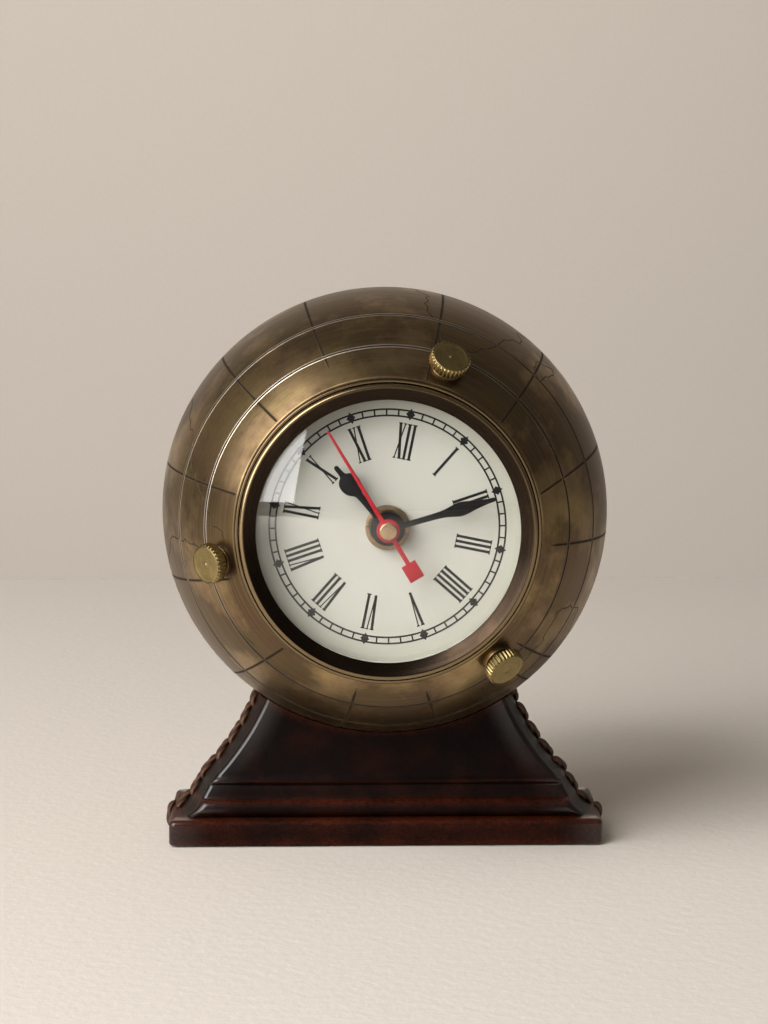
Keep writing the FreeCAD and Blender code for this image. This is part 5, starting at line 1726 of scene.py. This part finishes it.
    def half(self, rear: bool) -> Shape:
        """One leather half, closed: outside, rolled upper edge and inside.

        Args:
            rear: whether it is the rear half.

        Returns:
            The half, its values wear and polish set.
        """
        self.cache: dict = {}
        outer = self.outer_levels()
        rows = [self.placed(level, 0.0) for level in outer]
        wears = [level.wear_and_sheen for level in outer]
        inner = [level for level in outer if level.climbs is not None][::-3]
        inner += [Level(15.2, 13.5, self.width_at(15.2)), Level(11.9, 13.9, self.width_at(11.9)),
                  Level(9.2, 16.3, self.width_at(9.2)), Level(6.9, 14.9, self.width_at(6.9)),
                  self.plinth_level(5.6, 0.0), self.plinth_level(0.5, 0.0)]
        inside = [self.placed(level, self.thickness) for level in inner]
        top, under = rows[-1], inside[0]
        for share, lift in ((0.2, 0.34), (0.5, 0.45), (0.8, 0.34)):
            rows.append([first.lerp(second, share) + Vector((0, 0, lift * 0.5))
                         for first, second in zip(top, under)])
            wears.append(0.6)
        rows += inside
        wears += [0.0] * len(inside)
        wide = len(rows[0])
        sign = -1.0 if rear else 1.0
        vertices = [Vector((spot.x, spot.y * sign, spot.z)) for row in rows for spot in row]
        wear_and_sheen = [value for value in wears for _ in range(wide)]
        ends = (len(self.side_steps) + 1, len(self.side_steps) + 5)
        shine = [max(0.0, 1.0 - 0.4 * max(ends[0] - near, near - ends[1], 0))
                 for near in (min(step, wide - 1 - step) for step in range(wide))]
        count = len(vertices)
        faces = [tuple(number % count for number in face) for face in grid(len(rows) + 1, wide)]
        faces += [tuple(range(0, count, wide)), tuple(range(wide - 1, count, wide))]
        return Shape(vertices, faces, None, {"wear_and_sheen": wear_and_sheen, "polish": shine * len(rows)})

    def seam_path(self, sign: int) -> list[Vector]:
        """The middle of one end, out on the leather's face.

        Args:
            sign: 1 at the right end, -1 at the left one.

        Returns:
            Its places, downwards at the right end and upwards at the left one.
        """
        low = [Vector((self.plinth[0], 0, height)) for height in spaced(4.3, 5.6, 2)]
        up = [Vector((self.width_at(height) + 0.05, 0, height)) for height in spaced(6.4, 36.6, 40)]
        path = [Vector((spot.x * sign, 0, spot.z)) for spot in low + up]
        return path[::-1] if sign > 0 else path

    def build(self) -> None:
        """Builds and dresses the stand."""
        for label, rear in (("front", False), ("rear", True)):
            dress(self.half(rear).made(f"stand_leather_{label}", 55.0), "leather", "stand",
                  f"leather_{label}")
        for label, sign in (("right", 1), ("left", -1)):
            laces = path_pattern.laid(Stitch().shape(), self.seam_path(sign), f"seam_{label}",
                                      self.stitch_count, self.stitch_slant, "lace")
            dress(laces.made(f"whip_lace_{label}", 70.0), "lace", "stand", f"lace_{label}")
        paint("base_core", "wood")
        paint("base_felt", "felt")
        paint("seat_lining", "lining")


# Clock head

GLYPHS: dict[str, tuple[float, list[tuple[Point, Point, float]]]] = {
    "I": (1.27, [((0.635, 0.0), (0.635, 1.0), 0.68), ((0.08, 0.0), (1.19, 0.0), 0.29),
                 ((0.08, 1.0), (1.19, 1.0), 0.29)]),
    "V": (2.10, [((0.45, 1.0), (1.06, 0.0), 0.68), ((1.66, 1.0), (1.10, 0.0), 0.30),
                 ((0.00, 1.0), (0.98, 1.0), 0.29), ((1.26, 1.0), (2.06, 1.0), 0.29)]),
    "X": (2.12, [((0.42, 1.0), (1.66, 0.0), 0.68), ((1.62, 1.0), (0.40, 0.0), 0.30),
                 ((0.00, 1.0), (0.95, 1.0), 0.29), ((1.22, 1.0), (1.98, 1.0), 0.29),
                 ((0.04, 0.0), (0.78, 0.0), 0.29), ((1.12, 0.0), (2.12, 0.0), 0.29)]),
}
HOURS = ("XII", "I", "II", "III", "IIII", "V", "VI", "VII", "VIII", "IX", "X", "XI")


@dataclass
class ClockHead:
    """Bezel, glass, spacer, dial with its printing, nut and the drum behind them."""

    dial_face: float = 33.8
    numeral_feet: float = 17.2
    numeral_height: float = 8.6
    print_thickness: float = 0.03
    track: tuple[float, float] = (27.5, 29.05)
    track_line: float = 0.44
    minute_line: float = 0.40
    lozenge: tuple[float, float] = (1.15, 1.5)
    lozenge_waist: tuple[float, float] = (0.52, 0.68)
    spacer: tuple[float, ...] = (33.5, 34.1, 33.8, 40.92, 0.1)
    dial_sheet: tuple[float, ...] = (4.05, 34.1, 33.4, 33.8, 0.05)
    nut_softness: float = 0.16

    def bar(self, start: Point, end: Point, width: float) -> Shape:
        """A printed stroke: a thin slab on the dial between two points.

        Args:
            start: one end of its middle line, in the dial's plane.
            end: the other end.
            width: its width.

        Returns:
            The slab in the clock's frame.
        """
        first, second = Vector(start), Vector(end)
        along = (second - first).normalized()
        side = Vector((-along.y, along.x)) * width / 2
        ring = [first + side, first - side, second - side, second + side]
        return self.slab([tuple(spot) for spot in ring])

    def slab(self, ring: Sequence[Point]) -> Shape:
        """A thin printed patch.

        Args:
            ring: its outline in the dial's plane.

        Returns:
            The patch in the clock's frame.
        """
        low, high = self.dial_face - 0.01, self.dial_face + self.print_thickness
        vertices = [Vector((*spot, level)) for level in (low, high) for spot in ring]
        count = len(ring)
        faces = [tuple(range(count))[::-1], tuple(range(count, 2 * count))]
        faces += [(step, (step + 1) % count, (step + 1) % count + count, step + count)
                  for step in range(count)]
        return Shape(vertices, faces)

    def numeral(self, text: str, hour: int) -> Shape:
        """One Roman numeral, upright at its hour with its feet towards the centre.

        Args:
            text: its letters.
            hour: its hour, 0 at the top.

        Returns:
            Its strokes as one shape.
        """
        width = sum(GLYPHS[letter][0] for letter in text)
        turn = Matrix.Rotation(math.radians(-30.0 * hour), 4, "Z")
        left = -width / 2
        strokes = []
        for letter in text:
            wide, lines = GLYPHS[letter]
            for start, end, thick in lines:
                ends = [(left + spot[0], self.numeral_feet + spot[1] * self.numeral_height)
                        for spot in (start, end)]
                strokes.append(self.bar(*ends, thick).moved(turn))
            left += wide
        return joined(strokes)

    def printing(self) -> Shape:
        """Everything printed on the dial."""
        place = dial_frame(DIAL_ROLL)
        inner, outer = self.track
        minute = self.bar((0.0, inner), (0.0, outer), self.minute_line)
        marks = [ring_pattern.laid(minute, "minute_mark", 60, Matrix(), "black_paint")]
        middle = (inner + outer) / 2
        wide, tall = self.lozenge
        waist_x, waist_y = self.lozenge_waist
        lozenge = self.slab([(x, middle + y) for x, y in (
            (0.0, -tall), (waist_x, -waist_y), (wide, 0.0), (waist_x, waist_y), (0.0, tall),
            (-waist_x, waist_y), (-wide, 0.0), (-waist_x, -waist_y))])
        marks.append(ring_pattern.laid(lozenge, "hour_mark", 12, Matrix(), "black_paint"))
        low, high = self.dial_face - 0.01, self.dial_face + self.print_thickness
        half = self.track_line / 2
        for radius in self.track:
            section = [(radius - half, low), (radius + half, low), (radius + half, high),
                       (radius - half, high)]
            marks.append(lathe(section, 240, Matrix()))
        marks += [self.numeral(text, hour) for hour, text in enumerate(HOURS)]
        return joined([Shape(mark.vertices, mark.faces) for mark in marks]).moved(place)

    def bezel(self) -> Shape:
        """The bezel: inner lip, conical band, crest, groove and beaded foot."""
        section = softened([
            (32.3, 43.5, 0.08), (32.3, 43.92, 0.12), (34.1, 45.25, 1.2), (35.3, 46.06, 0.85),
            (36.2, 45.85, 0.75), (36.42, 44.7, 0.3), (36.42, 44.1, 0.1), (36.5, 44.08, 0.06),
            (36.65, 44.38, 0.12), (37.15, 44.38, 0.18), (37.48, 44.05, 0.2), (37.48, 43.6, 0.1),
            (37.35, 43.5, 0.05)], 5)
        ring = lathe(section, 256, dial_frame(DIAL_ROLL))
        shine = [0.5 if radius > 36.45 and level > 44.2 else
                 min(max((radius - 35.25) / 0.5, 0.0), 0.6) if level > 44.9 else 0.0
                 for radius, level in section]
        ring.values = {"burr": [value for value in shine for _ in range(256)]}
        return ring

    def glass(self) -> Shape:
        """The domed glass, ground at its edge."""
        centre, outer, inner = -66.3, 114.3, 112.5
        top = math.degrees(math.acos(33.75 / outer))
        bottom = math.degrees(math.acos(33.85 / inner))
        front = arc((0.0, centre), outer, 90.0, top, 40)
        back = arc((0.0, centre), inner, bottom, 90.0, 40)
        edge = [(34.0, 42.65), (34.0, 41.1)]
        section = [(0.0, front[0][1]), *front[1:], *edge, *back[:-1], (0.0, back[-1][1])]
        return lathe(section, 192, dial_frame(DIAL_ROLL))

    def ring(self, inner: float, outer: float, low: float, high: float, soft: float) -> Shape:
        """A ring between two radii and two levels, its edges rounded."""
        section = softened([(inner, low, soft), (outer, low, soft), (outer, high, soft),
                            (inner, high, soft)], 3)
        return lathe(section, 192, dial_frame(DIAL_ROLL))

    def build(self) -> None:
        """Builds and dresses the clock head."""
        body = "clock_unit"
        dress(self.bezel().made("bezel_ring", 28.0), "bezel_brass", body, "clock_bezel")
        dress(self.glass().made("domed_glass", 40.0, 0.0005), "glass", body, "glass")
        dress(self.ring(*self.spacer).made("spacer_ring"), "spacer_plastic", body,
              "glass_spacer")
        dress(self.ring(*self.dial_sheet).made("dial_sheet"), "dial_face", body, "dial")
        dress(self.printing().made("dial_printing", 20.0), "black_paint", body)
        dress(refined("dial_nut", "slotted_nut", self.nut_softness), "nut_brass", body,
              "dial_nut")
        drum = softened([(33.2, 31.7, 0.1), (35.4, 31.7, 0.35), (35.4, 43.5), (34.2, 43.5),
                         (34.2, 32.4), (33.2, 32.4)], 4)
        dress(lathe(drum, 192, dial_frame(DIAL_ROLL)).made("drum_cup"), "drum_steel", body,
              "clock_drum")
        paint("dial_plate", "dial_plate_steel")
        paint("dial_washer", "washer_rubber")


@dataclass
class Blade:
    """A flat hand.

    Attributes:
        name: its object's name.
        hub: radius of its hub.
        bore: radius of its bore.
        level: level of its back.
        direction: where it points, anticlockwise from the top in degrees.
        profile: places (half width, reach) of its right edge.
        thickness: its thickness.
    """

    name: str
    hub: float
    bore: float
    level: float
    direction: float
    profile: tuple[Point, ...]
    thickness: float = 0.35

    def made(self, softness: float) -> Object:
        """The hand with a round tip and softened edges.

        Args:
            softness: width of the softened edges.

        Returns:
            Its object.
        """
        right = curved(self.profile)
        tip_half, tip_place = right[-1]
        tip = arc((0.0, tip_place), tip_half, 15.0, 165.0, 10)
        left = [(-half, place) for half, place in reversed(right)]
        meet = math.degrees(math.acos(self.profile[0][0] / self.hub))
        hub = arc((0.0, 0.0), self.hub, 180.0 - meet, 360.0 + meet, 60)[1:-1]
        outer = right + tip + left + hub
        inner = arc((0.0, 0.0), self.bore, 0.0, 360.0, 48)[:-1]
        rings = [[Vector((*spot, 0.0)) for spot in ring] for ring in (outer, inner)]
        patches = geometry.tessellate_polygon(rings)
        flat = rings[0] + rings[1]
        count = len(flat)
        vertices = [spot + Vector((0, 0, height)) for height in
                    (self.level, self.level + self.thickness) for spot in flat]
        faces = [tuple(patch) for patch in patches]
        faces += [tuple(number + count for number in patch) for patch in patches]
        for start, size in ((0, len(outer)), (len(outer), len(inner))):
            faces += [(start + step, start + (step + 1) % size,
                       start + (step + 1) % size + count, start + step + count)
                      for step in range(size)]
        place = dial_frame() @ Matrix.Rotation(math.radians(self.direction), 4, "Z")
        thing = Shape(vertices, faces).moved(place).made(self.name)
        ease_edges(thing.data, softness, 50.0)
        return thing


@dataclass
class Hands:
    """Hour, minute and second hand, and the cap over the second hand's pipe."""

    softness: float = 0.07
    hour: Blade = field(default_factory=lambda: Blade(
        "spade_hour_hand", 4.2, 2.55, 37.2, 40.0,
        ((0.90, 4.10), (0.82, 7.0), (0.88, 10.4), (1.15, 11.4), (1.80, 12.1), (2.35, 13.0),
         (2.58, 14.1), (2.52, 15.1), (2.18, 16.0), (1.55, 16.65), (0.92, 17.05),
         (0.68, 17.7), (0.62, 18.6), (0.60, 19.5))))
    minute: Blade = field(default_factory=lambda: Blade(
        "leaf_minute_hand", 3.8, 1.6, 38.9, -74.0,
        ((0.74, 3.73), (0.72, 8.0), (0.80, 12.3), (1.00, 14.6), (1.40, 16.4), (1.70, 17.7),
         (1.72, 18.8), (1.50, 20.2), (1.08, 22.2), (0.75, 24.2), (0.58, 25.8), (0.52, 26.78))))

    def build(self) -> None:
        """Builds and dresses the hands."""
        dress(self.hour.made(self.softness), "black_paint", "hour_shaft", "hour_hand")
        dress(self.minute.made(self.softness), "black_paint", "minute_shaft", "minute_hand")
        dress(refined("second_hand", "sweep_second_hand", self.softness), "red_paint",
              "seconds_shaft", "second_hand")
        cap = softened([(0.0, 41.25), (2.15, 41.25, 0.05), (2.15, 42.35, 0.42), (0.0, 42.35)], 6)
        dress(lathe(cap, 64, dial_frame(DIAL_ROLL)).made("hand_cap"), "cap_brass",
              "seconds_shaft", "second_hand_cap")


class Movement:
    """The quartz movement, whose CAD nodes are carried over and finished."""

    finishes: ClassVar[dict[str, str]] = {
        "movement_case": "case_plastic", "movement_cover": "case_plastic",
        "train_plate": "plate_plastic", "coil_bobbin": "bobbin_plastic",
        "coil_winding": "copper", "stator": "stator_iron", "circuit_board": "board",
        "quartz_crystal": "can_steel", "contact_plus": "contact_steel",
        "contact_minus": "contact_steel", "battery": "cell_jacket", "rotor": "pivot_steel",
        "fifth_wheel": "gear_plastic", "seconds_wheel": "gear_plastic",
        "third_wheel": "gear_plastic", "centre_wheel": "gear_plastic",
        "centre_pipe": "gear_brass", "motion_wheel": "gear_plastic",
        "hour_wheel": "gear_plastic", "setting_knob": "knob_plastic",
    }

    def build(self) -> None:
        """Finishes every piece of the movement."""
        for node, finish in self.finishes.items():
            paint(node, finish)


# Studio

def aimed(thing: Object, direction: tuple[float, float], distance: float,
          target: Point) -> None:
    """Sets a lamp or the camera at a distance from its target and turns it there.

    Args:
        thing: the lamp or camera.
        direction: azimuth to the right of the front, and elevation, in degrees.
        distance: in metres.
        target: the place that it faces, in metres.
    """
    right, up = (math.radians(part) for part in direction)
    away = Vector((math.sin(right) * math.cos(up), -math.cos(right) * math.cos(up), math.sin(up)))
    thing.location = Vector(target) + away * distance
    thing.rotation_euler = away.to_track_quat("Z", "Y").to_euler()


@dataclass(frozen=True)
class Lamp:
    """An area lamp.

    Attributes:
        name: its name.
        direction: azimuth to the right of the front, and elevation, in degrees.
        distance: from its target, in metres.
        size: width and height in metres.
        power: in watts.
        colour: of its light.
        target: the place that it faces, the globe's centre if not given.
    """

    name: str
    direction: tuple[float, float]
    distance: float
    size: tuple[float, float]
    power: float
    colour: Point
    target: Point = (0.0, 0.0, GLOBE_HEIGHT * MM)

    def build(self) -> None:
        """Hangs the lamp."""
        data = bpy.data.lights.new(self.name, "AREA")
        data.shape = "RECTANGLE"
        data.size, data.size_y = self.size
        data.energy = self.power
        data.color = self.colour
        aimed(linked(self.name, data), self.direction, self.distance, self.target)


@dataclass
class Studio:
    """Table, wall, lamps and camera; its lengths are in metres."""

    direction: tuple[float, float] = (-1.2, 7.4)
    distance: float = 0.700
    focal_pixels: float = 2700.0
    centre_pixel: tuple[float, float] = (384.7, 509.1)
    image: tuple[int, int] = (768, 1024)
    sensor: float = 36.0
    half_width: float = 3.0
    table_edge: float = 0.428
    wall_place: float = 1.5
    wall_levels: tuple[float, float] = (-1.0, 3.0)
    table_colour: Point = (0.88, 0.81, 0.73)
    wall_colour: Point = (0.74, 0.665, 0.585)
    room_colour: Point = (0.80, 0.745, 0.68)
    room_strength: float = 0.18
    daylight: ClassVar[Point] = (1.0, 0.99, 0.98)
    warm_light: ClassVar[Point] = (1.0, 0.985, 0.96)
    lamps: tuple[Lamp, ...] = (
        Lamp("window_lamp", (-38.5, 26.0), 1.3, (0.74, 1.25), 18.5, daylight),
        Lamp("side_lamp", (-66.0, 30.0), 1.3, (0.7, 1.2), 8.0, daylight),
        Lamp("upper_wall_lamp", (0.0, 0.0), 1.02, (1.6, 0.5), 4.4, warm_light, (-0.3, 1.5, 0.62)),
        Lamp("lower_wall_lamp", (0.0, 0.0), 0.9, (1.6, 0.4), 2.6, warm_light, (-0.2, 1.5, -0.55)))

    def plane(self, name: str, corners: Sequence[Point], colour: Point) -> None:
        """A flat backdrop piece.

        Args:
            name: its name.
            corners: its corners.
            colour: its colour.
        """
        mesh = bpy.data.meshes.new(name)
        mesh.from_pydata(corners, [], [tuple(range(len(corners)))])
        mesh.materials.append(Backdrop(name, colour).made())
        linked(name, mesh)

    def camera(self) -> None:
        """The camera of the photograph."""
        wide, tall = self.image
        data = bpy.data.cameras.new("camera")
        data.sensor_width = self.sensor
        data.lens = self.focal_pixels * self.sensor / tall
        data.shift_x = (wide / 2 - self.centre_pixel[0]) / tall
        data.shift_y = (self.centre_pixel[1] - tall / 2) / tall
        view = linked("camera", data)
        aimed(view, self.direction, self.distance, (0.0, 0.0, GLOBE_HEIGHT * MM))
        bpy.context.scene.camera = view

    def world(self) -> None:
        """Even room light of one colour."""
        world = bpy.data.worlds.new("room")
        world.use_nodes = True
        back = next(node for node in world.node_tree.nodes if node.type == "BACKGROUND")
        back.inputs[0].default_value = (*self.room_colour, 1.0)
        back.inputs[1].default_value = self.room_strength
        bpy.context.scene.world = world

    def build(self) -> None:
        """Builds the studio."""
        side, edge, wall = self.half_width, self.table_edge, self.wall_place
        low, high = self.wall_levels
        self.plane("table", [(-side, -side, 0), (side, -side, 0), (side, edge, 0),
                             (-side, edge, 0)], self.table_colour)
        self.plane("wall", [(-side, wall, low), (side, wall, low), (side, wall, high),
                            (-side, wall, high)], self.wall_colour)
        for lamp in self.lamps:
            lamp.build()
        self.world()
        self.camera()
        bpy.context.scene.view_settings.view_transform = "Standard"


def main() -> None:
    """Builds every sub-assembly in order."""
    noise.seed_set(SEED)
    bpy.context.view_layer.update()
    for part in (Stand(), Globe(), ThumbScrews(), ClockHead(), Hands(), Movement(), Studio()):
        log.info("-- %s", type(part).__name__)
        part.build()


if __name__ == "__main__":
    main()
